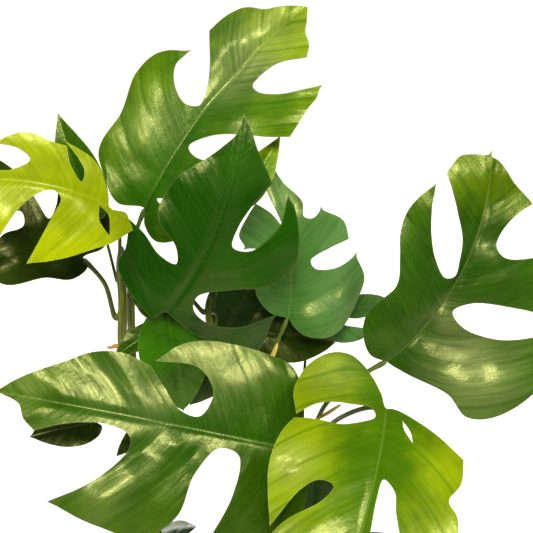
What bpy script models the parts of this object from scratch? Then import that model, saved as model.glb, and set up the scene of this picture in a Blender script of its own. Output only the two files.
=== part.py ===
"""Potted mini monstera: a clay pot of soil, three climbing vines and their split leaves.

Lengths are millimetres in the tables below and metres in the finished objects. The pot stands
on z = 0 with its axis on the world Z axis; the front of the plant looks toward -Y.
"""
import bmesh
import bpy
import numpy as np
from mathutils import Vector, geometry

# ---------------------------------------------------------------- driving dimensions (mm)
POT_HEIGHT = 125.0
POT_RIM_RADIUS = 75.0
POT_FOOT_RADIUS = 50.0
POT_WALL = 5.0
POT_FLOOR = 7.0
RIM_BAND_HEIGHT = 26.0
RIM_BAND_STEP = 4.0
POT_SIDES = 40
DRAIN_HOLES = 4
DRAIN_RADIUS = 5.0
DRAIN_CIRCLE = 30.0
SOIL_TOP = 110.0
GAP = 0.3

BLADE_THICKNESS = 0.8
BLADE_GRID = 9.0           # interior triangle size, percent of blade length
VINE_SIDES = 8
STALK_SIDES = 6
MM = 0.001

COLLECTION = "Potted monstera"
CUTTERS = "Cutters"
TIP = 0.0                  # marks a sharp corner in an outline
DRIP = 4.0                 # marks a corner drawn out into a fine point this long, in percent
DRIP_HALF_WIDTH = 0.9      # half the width at its neck, in percent

# ---------------------------------------------------------------- blade outlines
# Marks go round the blade from the stalk along the left margin, over the tip and back along the
# right margin. Units are percent of blade length: x along the midrib, y to the left of it. A mark
# with TIP is a sharp lobe end; the inner ends of the splits are ordinary smooth marks.
OUTLINES = {
    "crown": [
        (0, 0), (-3, 10), (3, 20), (10, 28), (24, 28), (40, 32), (48.5, 30.5), (54, 26),
        (58, 20, DRIP), (51, 21), (45, 16), (41.5, 8), (44, 2.7), (50, 4), (58, 9.5),
        (68, 20, TIP), (75, 19), (81, 16), (87, 9), (94, 5), (100, 0, TIP), (95.5, -5),
        (91, -9.5), (88.5, -14), (84, -17.5, TIP), (74, -10.5), (63, -8.7), (61.5, -13.5),
        (66.5, -21.5), (80, -30, DRIP), (75, -32), (68, -33), (55.5, -35.5, TIP), (50, -29),
        (44.5, -20), (37, -9), (29.5, -4), (27.7, -8), (29, -15), (37, -26, TIP), (25, -28),
        (12, -17), (6, -4), (5, -12), (7, -26, TIP), (-3, -20), (-8, -12), (-5, -4)],
    "right": [
        (0, 0), (-3, 7), (2, 17), (12, 22), (30, 20), (43, 25), (54, 29), (66, 29.5),
        (75, 26.5), (83, 21, DRIP), (72, 20.5), (60, 17.5), (50, 12), (44.3, 5), (46.5, 1.8),
        (54, 3), (62, 5), (72, 10), (88.5, 17.5, TIP), (93, 15.3), (97, 12.3), (98, 6),
        (100, 0, DRIP), (96, -2.5), (92.5, -6), (88, -9.5), (81.5, -18, TIP), (77, -13),
        (70, -9), (64, -8.5), (61, -13), (64, -23), (70, -32, TIP), (60, -36), (49, -39, TIP),
        (47, -27), (41, -10), (34, -5), (31, -12), (34, -26), (46, -44, TIP), (34, -52),
        (17, -48), (9, -38), (10, -25), (4, -10)],
    "broad": [
        (0, 0), (-5, 8), (-6, 20), (0, 34), (10, 43), (26, 49, DRIP), (24, 37), (19, 19),
        (19, 6), (26, 5), (32, 14), (35, 28), (44, 37), (58, 36), (76, 31, TIP), (62, 21),
        (54, 10), (55, 6), (64, 4), (76, 6.5), (84.5, 10, TIP), (88.5, 7), (91, 2.7),
        (100, 0, DRIP), (94.5, -4), (86, -9.5), (79, -13.5), (72, -17.5), (62, -19),
        (52.6, -16.8, TIP), (47, -11), (41, -5), (34, -4), (31, -12), (37, -19),
        (51.4, -18.4, TIP), (43, -26), (32, -29), (16, -28), (7, -26), (2, -18), (-1, -8)],
    "lime": [
        (0, 0), (2, 5), (11, 19), (24, 38, TIP), (37, 38), (46, 34), (52, 39), (66, 42, TIP),
        (73, 33), (70, 20), (58, 13), (48, 10), (43, 4), (53, 3), (68, 4), (84, 5),
        (100, 0, TIP), (97, -12), (90, -42, TIP), (74, -34), (60, -20), (52, -17), (50, -24),
        (56, -31), (78, -40, TIP), (64, -45), (46, -49), (26, -47), (15.4, -42.6, TIP),
        (15, -30), (15, -18), (9, -5), (2, -7), (0, -18), (3, -32), (12, -42, TIP), (-8, -45),
        (-26, -39), (-36, -26), (-28, -12), (-10, -3)],
    "centre": [
        (0, 0), (-6, 3), (-6, 14), (-4, 24), (0, 32), (12, 33), (29, 38, TIP), (28, 29),
        (23, 18), (24, 9), (32, 13), (38, 24), (48, 28), (64, 24), (76, 14.5), (84.5, 6.5),
        (90.5, 1.8), (100, 0, DRIP), (95, -2.8), (91, -5.3), (86, -7.8), (80, -12.3),
        (73, -18, TIP), (62, -12), (52, -9), (43, -10), (44, -18), (50.5, -23.5), (58, -27.5),
        (70, -26.5, DRIP), (65.5, -31.5), (60.5, -34.7), (52, -38.7), (43, -41), (34, -35),
        (26, -19), (16, -7), (9, -9), (5, -20), (8, -37), (13, -42), (20, -48.5, DRIP),
        (14, -49.5), (7, -53), (-4, -57, TIP), (-5, -42), (-3, -18)],
    "grey": [
        (0, 0), (4, 12), (14, 21), (30, 25), (37, 32, DRIP), (39, 20), (39, 4), (43, 8),
        (47, 29, DRIP), (58, 30), (70, 22), (76, 16, TIP), (68, 9), (58, 3), (62, 4), (76, 7),
        (90, 7), (100, 0, TIP), (84, -4), (70, -12), (62, -11), (60, -16), (66, -22, DRIP),
        (56, -34), (46, -36, TIP), (42, -24), (36, -12), (31, -15), (31, -28), (39, -40, DRIP),
        (24, -46), (8, -40), (-7, -29), (-9, -14), (-5, -5)],
    "young": [
        (0, 0), (-12, -2), (-20, 6, TIP), (-8, 22), (12, 39), (30, 47), (50, 51, TIP), (44, 38),
        (37, 20), (34, 7), (40, 3), (55, 12), (80, 45, TIP), (91, 31), (100, 0, TIP), (86, -5),
        (66, -6), (56, -13), (63, -19), (76, -22, TIP), (60, -29), (46, -26), (37, -26, TIP),
        (33, -15), (24, -7), (24, -14), (38, -29, TIP), (20, -23), (8, -10)],
    "backed": [
        (0, 0), (-4, 5), (5, 18), (23, 24), (46, 37), (66, 32, TIP), (57, 7), (46, -4),
        (50, -12), (64, -2), (76, 17, TIP), (90, 9), (100, 0, TIP), (92, -20), (78, -46, TIP),
        (60, -38), (42, -22), (32, -14), (29, -24), (30, -44), (36, -58, TIP), (14, -62),
        (-8, -52), (-15, -34), (-12, -12)],
    "lance": [
        (0, 0), (-3, 6), (6, 15), (26, 21), (52, 19), (78, 9), (100, 0, DRIP), (80, -10),
        (54, -20), (26, -22), (6, -16), (-3, -6)],
    "heart": [
        (0, 0), (-9, 9), (-8, 24), (10, 39), (38, 43), (68, 33), (87, 14), (100, 0, DRIP),
        (85, -16), (66, -33), (38, -42), (10, -38), (-8, -24), (-9, -9)],
    "oval": [
        (0, 0), (-6, 8), (0, 21), (22, 31), (52, 28), (80, 14), (100, 0, DRIP), (80, -14),
        (52, -28), (22, -30), (0, -20), (-6, -8)],
    "narrow_split": [
        (0, 0), (-4, 8), (10, 15), (36, 17), (62, 18), (84, 12), (100, 0, TIP), (84, -8),
        (50, -14), (22, -8), (24, -16), (46, -25), (68, -30, TIP), (50, -42), (20, -42),
        (-4, -28), (-6, -10)],
    "notched": [
        (0, 0), (-6, 12), (4, 28), (24, 36), (50, 37), (66, 32, TIP), (56, 22), (50, 8),
        (60, 8), (74, 18), (84, 20, TIP), (92, 11), (100, 0, TIP), (90, -12), (76, -22, TIP),
        (62, -13), (48, -10), (50, -22), (58, -36, TIP), (34, -40), (10, -34), (-5, -20),
        (-5, -8)],
}
HOLES = {
    "young": [[(8, 2.6, TIP), (0, 5.5), (-6, 18, TIP), (5, 12)]],
    "lime": [[(9, 8, TIP), (16, 12.4), (22, 14, TIP), (15, 9.4)]],
}

# ---------------------------------------------------------------- vines
# Each vine is a list of (x, y, z, radius) from the soil upward.
VINES = {
    "left": [(-36, 14, SOIL_TOP + GAP, 3.6), (-42, 14, 128, 3.6), (-66, 12, 162, 3.6),
             (-78, 11, 194, 3.6), (-78, 12, 232, 3.6), (-77, 15, 275, 3.6), (-81, 18, 318, 3.5),
             (-88, 20, 356, 3.4), (-86, 21, 397, 3.2), (-86, 22, 424, 2.8),
             (-84, 20, 438, 2.0)],
    "centre": [(12, 4, SOIL_TOP + GAP, 3.8), (13, 4, 128, 3.8), (21, 2, 205, 3.7),
               (20, 1, 245, 3.6), (12, 2, 285, 3.5), (-1, 4, 325, 3.4), (-16, 7, 361, 3.0),
               (-27, 10, 389, 2.2), (-26, 12, 405, 1.6)],
    "back": [(-47, 24, SOIL_TOP + GAP, 3.0), (-51, 25, 130, 3.0), (-68, 29, 165, 3.0),
             (-82, 32, 205, 3.0), (-86, 35, 260, 3.0), (-85, 36, 302, 3.0),
             (-84, 36, 344, 2.9), (-82.5, 36, 387, 2.8), (-80, 36, 420, 2.6),
             (-77.5, 35, 434, 2.2)],
    "right": [(34, 14, SOIL_TOP + GAP, 3.4), (35, 13, 130, 3.4), (41, 7, 195, 3.4),
              (40, 6, 240, 3.2), (37, 6, 275, 2.9), (36, 7, 302, 2.4)],
}

# ---------------------------------------------------------------- leaves
# blade: outline name, stalk point, tip point, facing direction, then how the midrib droops,
# sweeps sideways and twists (degrees over its length) and how the two halves fold up from the
# midrib and arch over (degrees; left, right). stalk: vine, height on it, way points, radius.
LEAVES = {
    "crown": dict(shape="crown", base=(-69, 30, 462), tip=(39, 95, 578),
                  faces=(-0.32, -0.70, 0.60), droop=28, sweep=-15, fold=(14, 14),
                  arch=(-30, -30), tone="bright", vine="back", height=424,
                  way=[(-75, 31, 444)], stalk=1.7),
    "right": dict(shape="right", base=(92, -15, 370), tip=(157, 30, 504),
                  faces=(0.05, -0.72, 0.65), droop=20, sweep=50, fold=(8, 12),
                  arch=(-12, -18), tone="deep", vine="right", height=285,
                  way=[(54, -8, 332), (79, -14, 361)], stalk=1.9),
    "broad": dict(shape="broad", base=(31, -62, 335), tip=(-159, -62, 381),
                  faces=(0.0, -0.72, 0.66), droop=25, fold=(8, 8), arch=(-32, -32),
                  tone="mid", vine="centre", height=262, way=[(24, -36, 318)], stalk=2.1),
    "lime": dict(shape="lime", base=(86, -75, 378), tip=(53, -185, 326),
                 faces=(-0.05, -0.5, 0.86), droop=45, sweep=-15, fold=(8, 2),
                 arch=(-23, -12), tone="lime", vine="right", height=274,
                 way=[(57, -40, 340), (77, -66, 371)], stalk=1.9),
    "centre": dict(shape="centre", base=(-53, -20, 412), tip=(-2, 10, 538),
                   faces=(0.05, -0.85, 0.5), droop=30, sweep=35, fold=(-6, -6),
                   arch=(-30, -30), tone="deep", vine="centre", height=394,
                   way=[(-41, 4, 410)], stalk=1.6),
    "grey": dict(shape="grey", base=(27, 28, 377), tip=(13, 70, 479), faces=(0.1, -0.75, 0.6),
                 droop=30, sweep=28, fold=(12, 12), arch=(-25, -25), tone="grey",
                 vine="centre", height=314, way=[(16, 18, 352)], stalk=1.7),
    "young": dict(shape="young", base=(-86, -2, 479), tip=(-175, -25, 508),
                  faces=(-0.1, -0.75, 0.6), droop=30, sweep=35, fold=(8, 8),
                  arch=(-25, -25), tone="lime", vine="left", height=424,
                  way=[(-83, 6, 462)], stalk=1.4),
    "left_back": dict(shape="backed", base=(-111, 28, 426), tip=(-198, 10, 475),
                      faces=(-0.1, -0.6, 0.8), droop=30, fold=(6, 6), arch=(-25, -25),
                      tone="dark", vine="left", height=382, way=[(-98, 24, 408)],
                      stalk=1.9),
    "left_top": dict(shape="lance", base=(-104, 40, 450), tip=(-126, 62, 516),
                     faces=(-0.1, -0.75, 0.6), droop=30, fold=(12, 12), arch=(-25, -25),
                     tone="mid", vine="left", height=410, way=[(-96, 32, 437)],
                     stalk=1.2),
    "lime_back": dict(shape="lance", base=(-8, 25, 467), tip=(21, 45, 507),
                      faces=(0.1, -0.8, 0.5), droop=20, fold=(15, 15), arch=(-20, -20),
                      tone="bright", vine="centre", height=398, way=[(-16, 19, 440)],
                      stalk=1.0),
    "grey_small": dict(shape="narrow_split", base=(55, 72, 352), tip=(104, 60, 370),
                       faces=(0.1, -0.7, 0.65), droop=20, fold=(10, 10), arch=(-22, -22),
                       tone="grey", vine="right", height=296, way=[(46, 80, 338)],
                       stalk=1.2),
    "shaded": dict(shape="heart", base=(-16, 62, 346), tip=(9, 78, 394),
                   faces=(0.0, -0.8, 0.6), droop=15, fold=(10, 10), arch=(-20, -20),
                   tone="shade", vine="centre", height=333, way=[(-19, 64, 332)],
                   stalk=1.2),
    "glossy": dict(shape="oval", base=(4, 38, 360), tip=(63, 50, 342),
                   faces=(0.0, -0.8, 0.6), droop=35, fold=(10, 10), arch=(-25, -25),
                   tone="dark", vine="centre", height=324, way=[(-7, 30, 336), (-4, 42, 349)],
                   stalk=1.2),
    "inner_left": dict(shape="heart", base=(-47, 8, 401), tip=(-79, 5, 409),
                       faces=(0.0, -0.8, 0.6), droop=20, fold=(8, 8), arch=(-20, -20),
                       tone="mid", vine="centre", height=368, way=[(-37, 8, 391)],
                       stalk=0.9),
    "small_left": dict(shape="lance", base=(-57, 12, 380), tip=(-93, 2, 361),
                       faces=(0.0, -0.5, 0.85), droop=45, fold=(12, 12), arch=(-20, -20),
                       tone="mid", vine="centre", height=352, way=[(-38, 10, 376)],
                       stalk=0.9),
    "hanging": dict(shape="oval", base=(-53, -5, 400), tip=(-45, -13, 327),
                    faces=(0.0, -0.85, 0.5), droop=35, fold=(6, 6), arch=(-25, -25),
                    tone="mid", vine="centre", height=330, way=[(-40, 2, 382)],
                    stalk=1.2),
    "inner_dark": dict(shape="heart", base=(-28, 24, 368), tip=(-42, 8, 316),
                       faces=(0.0, -0.95, 0.3), droop=15, fold=(8, 8), arch=(-20, -20),
                       tone="shade", vine="centre", height=380, way=[(-22, 20, 384), (-27, 33, 377)],
                       stalk=1.0),
    "under_left": dict(shape="oval", base=(-104, -18, 323), tip=(-150, -26, 316),
                       faces=(0.0, -0.6, 0.8), droop=25, fold=(10, 10), arch=(-25, -25),
                       tone="dark", vine="left", height=314, way=[(-94, -8, 319)],
                       stalk=1.1),
    "under_mid": dict(shape="lance", base=(-62, -10, 318), tip=(-93, -20, 294),
                      faces=(0.0, -0.6, 0.8), droop=30, fold=(12, 12), arch=(-20, -20),
                      tone="dark", vine="left", height=262, way=[(-66, -4, 304)],
                      stalk=1.0),
    "under_lime": dict(shape="lance", base=(46, -12, 280), tip=(38, -45, 204),
                       faces=(0.15, -0.9, 0.4), droop=20, fold=(12, 12), arch=(-20, -20),
                       tone="shade", vine="right", height=240, way=[(47, -5, 268)],
                       stalk=1.2),
    "low_back": dict(shape="notched", base=(14, 42, 160), tip=(26, 134, 96),
                     faces=(0.0, 0.45, 0.9), droop=50, fold=(10, 10), arch=(-30, -30),
                     tone="dark", vine="centre", height=134, way=[(12, 26, 152)],
                     stalk=1.6),
    "low_back_left": dict(shape="notched", base=(-64, 46, 152), tip=(-124, 92, 86),
                          faces=(-0.3, 0.4, 0.9), droop=40, fold=(8, 8), arch=(-30, -30),
                          tone="mid", vine="back", height=138, way=[(-58, 38, 146)],
                          stalk=1.6),
    "low_right": dict(shape="centre", base=(84, 14, 166), tip=(164, 20, 124),
                      faces=(0.3, 0.1, 0.95), droop=45, fold=(8, 8), arch=(-28, -28),
                      tone="mid", vine="right", height=146, way=[(62, 14, 158)],
                      stalk=1.7),
    "low_left": dict(shape="notched", base=(-88, -14, 186), tip=(-176, -36, 150),
                     faces=(-0.2, -0.3, 0.95), droop=40, fold=(10, 10), arch=(-30, -30),
                     tone="deep", vine="left", height=150, way=[(-68, -4, 172)],
                     stalk=1.7),
    "low_front": dict(shape="right", base=(-8, -70, 196), tip=(-50, -164, 142),
                      faces=(0.0, -0.4, 0.9), droop=45, fold=(10, 10), arch=(-24, -24),
                      tone="deep", vine="centre", height=160, way=[(0, -40, 182)],
                      stalk=1.8),
}

# name: (vine, height up it, reach sideways, rise, radius at the vine)
AERIAL_ROOTS = {
    "left": ("left", 360, (-7.0, -3.5, 1.0), 1.5),
    "centre": ("centre", 296, (-6.0, 8.0, -4.0), 1.4),
}

# name: foot point, top point, widest half width of the dried leaf sheath
SHEATHS = {
    "grey": dict(foot=(13, 8, 350), top=(20, 13, 367), width=2.2),
    "right": dict(foot=(46, -15, 322), top=(63, -22, 341), width=1.8),
}

TONES = {
    "bright": (0.150, 0.270, 0.022), "lime": (0.330, 0.450, 0.020),
    "mid": (0.055, 0.160, 0.016), "deep": (0.024, 0.105, 0.010),
    "dark": (0.014, 0.052, 0.008), "grey": (0.085, 0.180, 0.050),
    "shade": (0.018, 0.048, 0.018),
}


# ---------------------------------------------------------------- helpers
def unit(vector):
    vector = np.asarray(vector, float)
    return vector / np.linalg.norm(vector)


def spline(points, steps, closed=False):
    """Centripetal Catmull-Rom curve through the points, steps pieces per span."""
    points = np.asarray(points, float)
    count = len(points)
    if closed:
        padded = np.vstack([points[-1], points, points[:2]])
        spans = count
    else:
        padded = np.vstack([2 * points[0] - points[1], points, 2 * points[-1] - points[-2]])
        spans = count - 1
    curve = []
    for k in range(spans):
        p0, p1, p2, p3 = padded[k:k + 4]
        t1 = max(np.linalg.norm(p1 - p0), 1e-9) ** 0.5
        t2 = t1 + max(np.linalg.norm(p2 - p1), 1e-9) ** 0.5
        t3 = t2 + max(np.linalg.norm(p3 - p2), 1e-9) ** 0.5
        for t in np.linspace(t1, t2, steps, endpoint=False):
            a1 = p0 + (p1 - p0) * t / t1
            a2 = p1 + (p2 - p1) * (t - t1) / (t2 - t1)
            a3 = p2 + (p3 - p2) * (t - t2) / (t3 - t2)
            b1 = a1 + (a2 - a1) * t / t2
            b2 = a2 + (a3 - a2) * (t - t1) / (t3 - t1)
            curve.append(b1 + (b2 - b1) * (t - t1) / (t2 - t1))
    if not closed:
        curve.append(points[-1])
    return np.array(curve)


def drawn_out(marks):
    """The marks with a narrow neck added on both sides of every DRIP corner."""
    full = []
    for k, mark in enumerate(marks):
        if len(mark) < 3 or not mark[2]:
            full.append(mark)
            continue
        spot = np.array(mark[:2], float)
        before = unit(np.array(marks[k - 1][:2]) - spot)
        after = unit(np.array(marks[(k + 1) % len(marks)][:2]) - spot)
        inward = unit(before + after)
        side = np.array([-inward[1], inward[0]]) * DRIP_HALF_WIDTH
        side *= np.sign(side.dot(before))
        neck = spot + inward * mark[2]
        full += [tuple(neck + side), mark, tuple(neck - side)]
    return full


def outline_loop(marks, steps):
    """Closed outline: smooth between ordinary marks, cornered at TIP and DRIP marks."""
    marks = drawn_out(marks)
    corners = [k for k, mark in enumerate(marks) if len(mark) > 2]
    flat = np.array([mark[:2] for mark in marks], float)
    loop = []
    for here, after in zip(corners, corners[1:] + [corners[0] + len(marks)]):
        run = [flat[k % len(marks)] for k in range(here, after + 1)]
        loop.extend(spline(run, steps)[:-1])
    return np.array(loop)


def inside(points, loop):
    """Even-odd test of points against one closed loop."""
    x, y = points[:, 0][:, None], points[:, 1][:, None]
    x1, y1 = loop[:, 0], loop[:, 1]
    x2, y2 = np.roll(x1, -1), np.roll(y1, -1)
    rise = np.where(y1 == y2, 1e-12, y2 - y1)
    crosses = ((y1 > y) != (y2 > y)) & (x < (x2 - x1) * (y - y1) / rise + x1)
    return crosses.sum(axis=1) % 2 == 1


def flat_blade(marks, holes, grid, steps):
    """Triangulated flat blade in percent of its length: points and triangles."""
    loops = [outline_loop(marks, steps)]
    loops += [outline_loop(hole, steps) for hole in holes]
    border = np.vstack(loops)
    edges, start = [], 0
    for loop in loops:
        edges += [(start + k, start + (k + 1) % len(loop)) for k in range(len(loop))]
        start += len(loop)
    xs = np.arange(-45.0, 100.0, grid)
    rows = [(x, y * grid * 0.87) for x in xs for y in range(-8, 9)]
    rows = [(x + (grid / 2 if round(y / grid / 0.87) % 2 else 0.0), y) for x, y in rows]
    inner = np.array(rows)
    keep = inside(inner, loops[0])
    for loop in loops[1:]:
        keep &= ~inside(inner, loop)
    gap = np.linalg.norm(inner[:, None] - border[None], axis=2).min(axis=1)
    inner = inner[keep & (gap > grid * 0.42)]
    points = np.vstack([border, inner])
    made = geometry.delaunay_2d_cdt([Vector(p) for p in points], edges, [], 0, 1e-7)
    points = np.array([tuple(p) for p in made[0]])
    triangles = np.array([face for face in made[2]])
    middle = points[triangles].mean(axis=1)
    keep = inside(middle, loops[0])
    for loop in loops[1:]:
        keep &= ~inside(middle, loop)
    return points, triangles[keep]


def blade_surface(leaf, points):
    """World points (mm) and unit normals of flat blade points given in percent of length.

    The midrib runs from base to tip on a curve that droops and sweeps; across it each half
    leaves the midrib at the fold angle and bends round with the arch angle.
    """
    s = np.linspace(-0.5, 1.2, 171)
    run = np.clip(s, 0.0, None)
    droop = np.radians(leaf["droop"]) * run
    sweep = np.radians(leaf.get("sweep", 0.0)) * run
    along = np.stack([np.cos(droop) * np.cos(sweep), np.cos(droop) * np.sin(sweep),
                      -np.sin(droop)], axis=1)
    across = np.stack([-np.sin(sweep), np.cos(sweep), 0 * sweep], axis=1)
    above = np.cross(along, across)
    step = s[1] - s[0]
    line = np.vstack([np.zeros(3), np.cumsum((along[1:] + along[:-1]) / 2 * step, axis=0)])
    line -= [np.interp(0.0, s, line[:, k]) for k in range(3)]
    chord = np.array([np.interp(1.0, s, line[:, k]) for k in range(3)])
    base, tip = np.array(leaf["base"], float), np.array(leaf["tip"], float)
    length = np.linalg.norm(tip - base) / np.linalg.norm(chord)
    local_x = unit(chord)
    local_z = unit(np.array([0.0, 0.0, 1.0]) - local_x[2] * local_x)
    local = np.stack([local_x, np.cross(local_z, local_x), local_z])
    world_x = unit(tip - base)
    facing = np.array(leaf["faces"], float)
    world_z = unit(facing - facing.dot(world_x) * world_x)
    world = np.stack([world_x, np.cross(world_z, world_x), world_z])
    turn = world.T @ local

    def place(x, y):
        side = np.where(y >= 0, 0, 1)
        fold = np.radians(np.array(leaf["fold"], float))[side]
        arch = np.radians(np.array(leaf["arch"], float))[side]
        reach = 0.45
        bend = fold + arch * np.abs(y) / reach
        out = reach / arch * (np.sin(bend) - np.sin(fold)) * np.where(y >= 0, 1.0, -1.0)
        rise = -reach / arch * (np.cos(bend) - np.cos(fold))
        spot = [np.interp(x, s, line[:, k]) + out * np.interp(x, s, across[:, k])
                + rise * np.interp(x, s, above[:, k]) for k in range(3)]
        return base + length * np.stack(spot, axis=-1) @ turn.T

    x, y = points[:, 0] / 100.0, points[:, 1] / 100.0
    h = 0.004
    normal = np.cross(place(x + h, y) - place(x - h, y), place(x, y + h) - place(x, y - h))
    normal /= np.linalg.norm(normal, axis=1)[:, None]
    return place(x, y), normal


def vine_at(vine, height, toward):
    """Point just clear of a vine's side at a height, on the side that looks at a point."""
    marks = spline(VINES[vine], 2)
    centre = np.array([np.interp(height, marks[:, 2], marks[:, k]) for k in range(3)])
    ahead = np.array([np.interp(height + 4, marks[:, 2], marks[:, k]) for k in range(3)])
    along = unit(ahead - centre)
    heading = np.asarray(toward, float) - centre
    heading = unit(heading - heading.dot(along) * along)
    return centre, heading, np.interp(height, marks[:, 2], marks[:, 3])


def tube_mesh(path, radii, sides):
    """Closed round tube through the path points (mm), flat ended."""
    path = np.asarray(path, float)
    ahead = np.gradient(path, axis=0)
    ahead /= np.linalg.norm(ahead, axis=1)[:, None]
    side = np.cross(ahead[0], (0.0, 0.0, 1.0) if abs(ahead[0][2]) < 0.9 else (0.0, 1.0, 0.0))
    rings = []
    for point, direction, radius in zip(path, ahead, radii):
        side = unit(side - side.dot(direction) * direction)
        other = np.cross(direction, side)
        angle = np.arange(sides) * 2 * np.pi / sides
        ring = point + radius * (np.cos(angle)[:, None] * side + np.sin(angle)[:, None] * other)
        rings.append(ring)
    verts = np.vstack(rings)
    faces = []
    for k in range(len(path) - 1):
        for j in range(sides):
            a, b = k * sides + j, k * sides + (j + 1) % sides
            faces.append((a, b, b + sides, a + sides))
    faces.append(tuple(reversed(range(sides))))
    faces.append(tuple(range((len(path) - 1) * sides, len(path) * sides)))
    return verts, faces


def material(name, colour, roughness):
    made = bpy.data.materials.new(name)
    made.use_nodes = True
    shader = made.node_tree.nodes["Principled BSDF"]
    shader.inputs["Base Color"].default_value = (*colour, 1.0)
    shader.inputs["Roughness"].default_value = roughness
    made.diffuse_color = (*colour, 1.0)
    return made


def new_object(name, verts, faces, look, collection):
    mesh = bpy.data.meshes.new(name)
    mesh.from_pydata([tuple(v * MM) for v in np.asarray(verts)], [], [tuple(f) for f in faces])
    tidy = bmesh.new()
    tidy.from_mesh(mesh)
    bmesh.ops.recalc_face_normals(tidy, faces=tidy.faces)
    tidy.to_mesh(mesh)
    tidy.free()
    mesh.materials.append(look)
    thing = bpy.data.objects.new(name, mesh)
    collection.objects.link(thing)
    return thing


def turned(profile, sides):
    """Closed ring profile (radius, z) turned round the Z axis."""
    verts, faces = [], []
    count = len(profile)
    for k in range(sides):
        angle = 2 * np.pi * k / sides
        for radius, z in profile:
            verts.append((radius * np.cos(angle), radius * np.sin(angle), z))
    for k in range(sides):
        after = (k + 1) % sides
        for j in range(count - 1):
            faces.append((k * count + j, after * count + j, after * count + j + 1,
                          k * count + j + 1))
    return verts, faces


def turned_solid(profile, sides):
    """Solid of revolution whose profile starts and ends on the axis."""
    verts, faces = turned(profile[1:-1], sides)
    ring = len(profile) - 2
    faces.append(tuple(k * ring for k in range(sides)))
    faces.append(tuple(k * ring + ring - 1 for k in reversed(range(sides))))
    return verts, faces


# ---------------------------------------------------------------- scene
for old in list(bpy.data.objects):
    bpy.data.objects.remove(old, do_unlink=True)
plant = bpy.data.collections.new(COLLECTION)
cutters = bpy.data.collections.new(CUTTERS)
bpy.context.scene.collection.children.link(plant)
bpy.context.scene.collection.children.link(cutters)

# Pot: fired clay, tapered, with a plain band round the rim and four drain holes.
band_foot = POT_HEIGHT - RIM_BAND_HEIGHT
band_radius = POT_RIM_RADIUS - 2.0
slope = (POT_RIM_RADIUS - POT_FOOT_RADIUS) / POT_HEIGHT
under_band = POT_FOOT_RADIUS + (band_radius - RIM_BAND_STEP - POT_FOOT_RADIUS)
inner_rim = POT_RIM_RADIUS - POT_WALL - 1.5
inner_foot = POT_FOOT_RADIUS - POT_WALL
pot_profile = [
    (0.0, 0.0), (POT_FOOT_RADIUS - 1.5, 0.0), (POT_FOOT_RADIUS, 1.5),
    (under_band, band_foot - 1.0), (band_radius - 1.0, band_foot), (band_radius, band_foot + 1.5),
    (POT_RIM_RADIUS, POT_HEIGHT - 2.0), (POT_RIM_RADIUS - 2.0, POT_HEIGHT),
    (inner_rim + 2.0, POT_HEIGHT), (inner_rim, POT_HEIGHT - 2.0),
    (inner_foot + 2.0, POT_FLOOR + 2.0), (inner_foot, POT_FLOOR), (0.0, POT_FLOOR)]
verts, faces = turned_solid(pot_profile, POT_SIDES)
clay = material("Fired clay", (0.42, 0.15, 0.065), 0.85)
pot = new_object("pot", verts, faces, clay, plant)

hole_look = material("Cutter", (0.8, 0.2, 0.2), 0.5)
for k in range(DRAIN_HOLES):
    angle = 2 * np.pi * (k + 0.5) / DRAIN_HOLES
    centre = np.array([DRAIN_CIRCLE * np.cos(angle), DRAIN_CIRCLE * np.sin(angle), 0.0])
    drill, walls = tube_mesh([centre + (0, 0, -3.0), centre + (0, 0, POT_FLOOR + 4.0)],
                             [DRAIN_RADIUS] * 2, 16)
    cutter = new_object(f"drain_cutter_{k + 1}", drill, walls, hole_look, cutters)
    cutter.hide_render = True
    cutter.display_type = "WIRE"
    cut = pot.modifiers.new(f"Drain hole {k + 1}", "BOOLEAN")
    cut.object = cutter
    cut.operation = "DIFFERENCE"
    cut.solver = "EXACT"

# Soil: potting mix filling the pot to 15 mm under the rim, the edge slightly lower.
wall_slope = (inner_rim - inner_foot - 2.0) / (POT_HEIGHT - POT_FLOOR - 4.0)


def wall_radius(z):
    return inner_foot + 2.0 + (z - POT_FLOOR - 2.0) * wall_slope


soil_profile = [
    (0.0, POT_FLOOR + GAP), (inner_foot - 1.0, POT_FLOOR + GAP),
    (wall_radius(POT_FLOOR + 3.0) - 1.0, POT_FLOOR + 3.0),
    (wall_radius(SOIL_TOP - 4.0) - 0.6, SOIL_TOP - 4.0),
    (wall_radius(SOIL_TOP - 4.0) - 7.0, SOIL_TOP - 1.5), (52.0, SOIL_TOP), (0.0, SOIL_TOP)]
verts, faces = turned_solid(soil_profile, POT_SIDES)
new_object("soil", verts, faces, material("Potting mix", (0.035, 0.022, 0.014), 0.95), plant)

# Vines: green climbing stems rising from the soil.
vine_look = material("Green vine", (0.17, 0.20, 0.035), 0.5)
for name, marks in VINES.items():
    curve = spline(marks, 2)
    curve[0, 2] = SOIL_TOP + GAP
    verts, faces = tube_mesh(curve[:, :3], curve[:, 3], VINE_SIDES)
    foot = verts[:VINE_SIDES]
    foot[:, 2] = SOIL_TOP + GAP
    new_object(f"vine_{name}", verts, faces, vine_look, plant)

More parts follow.
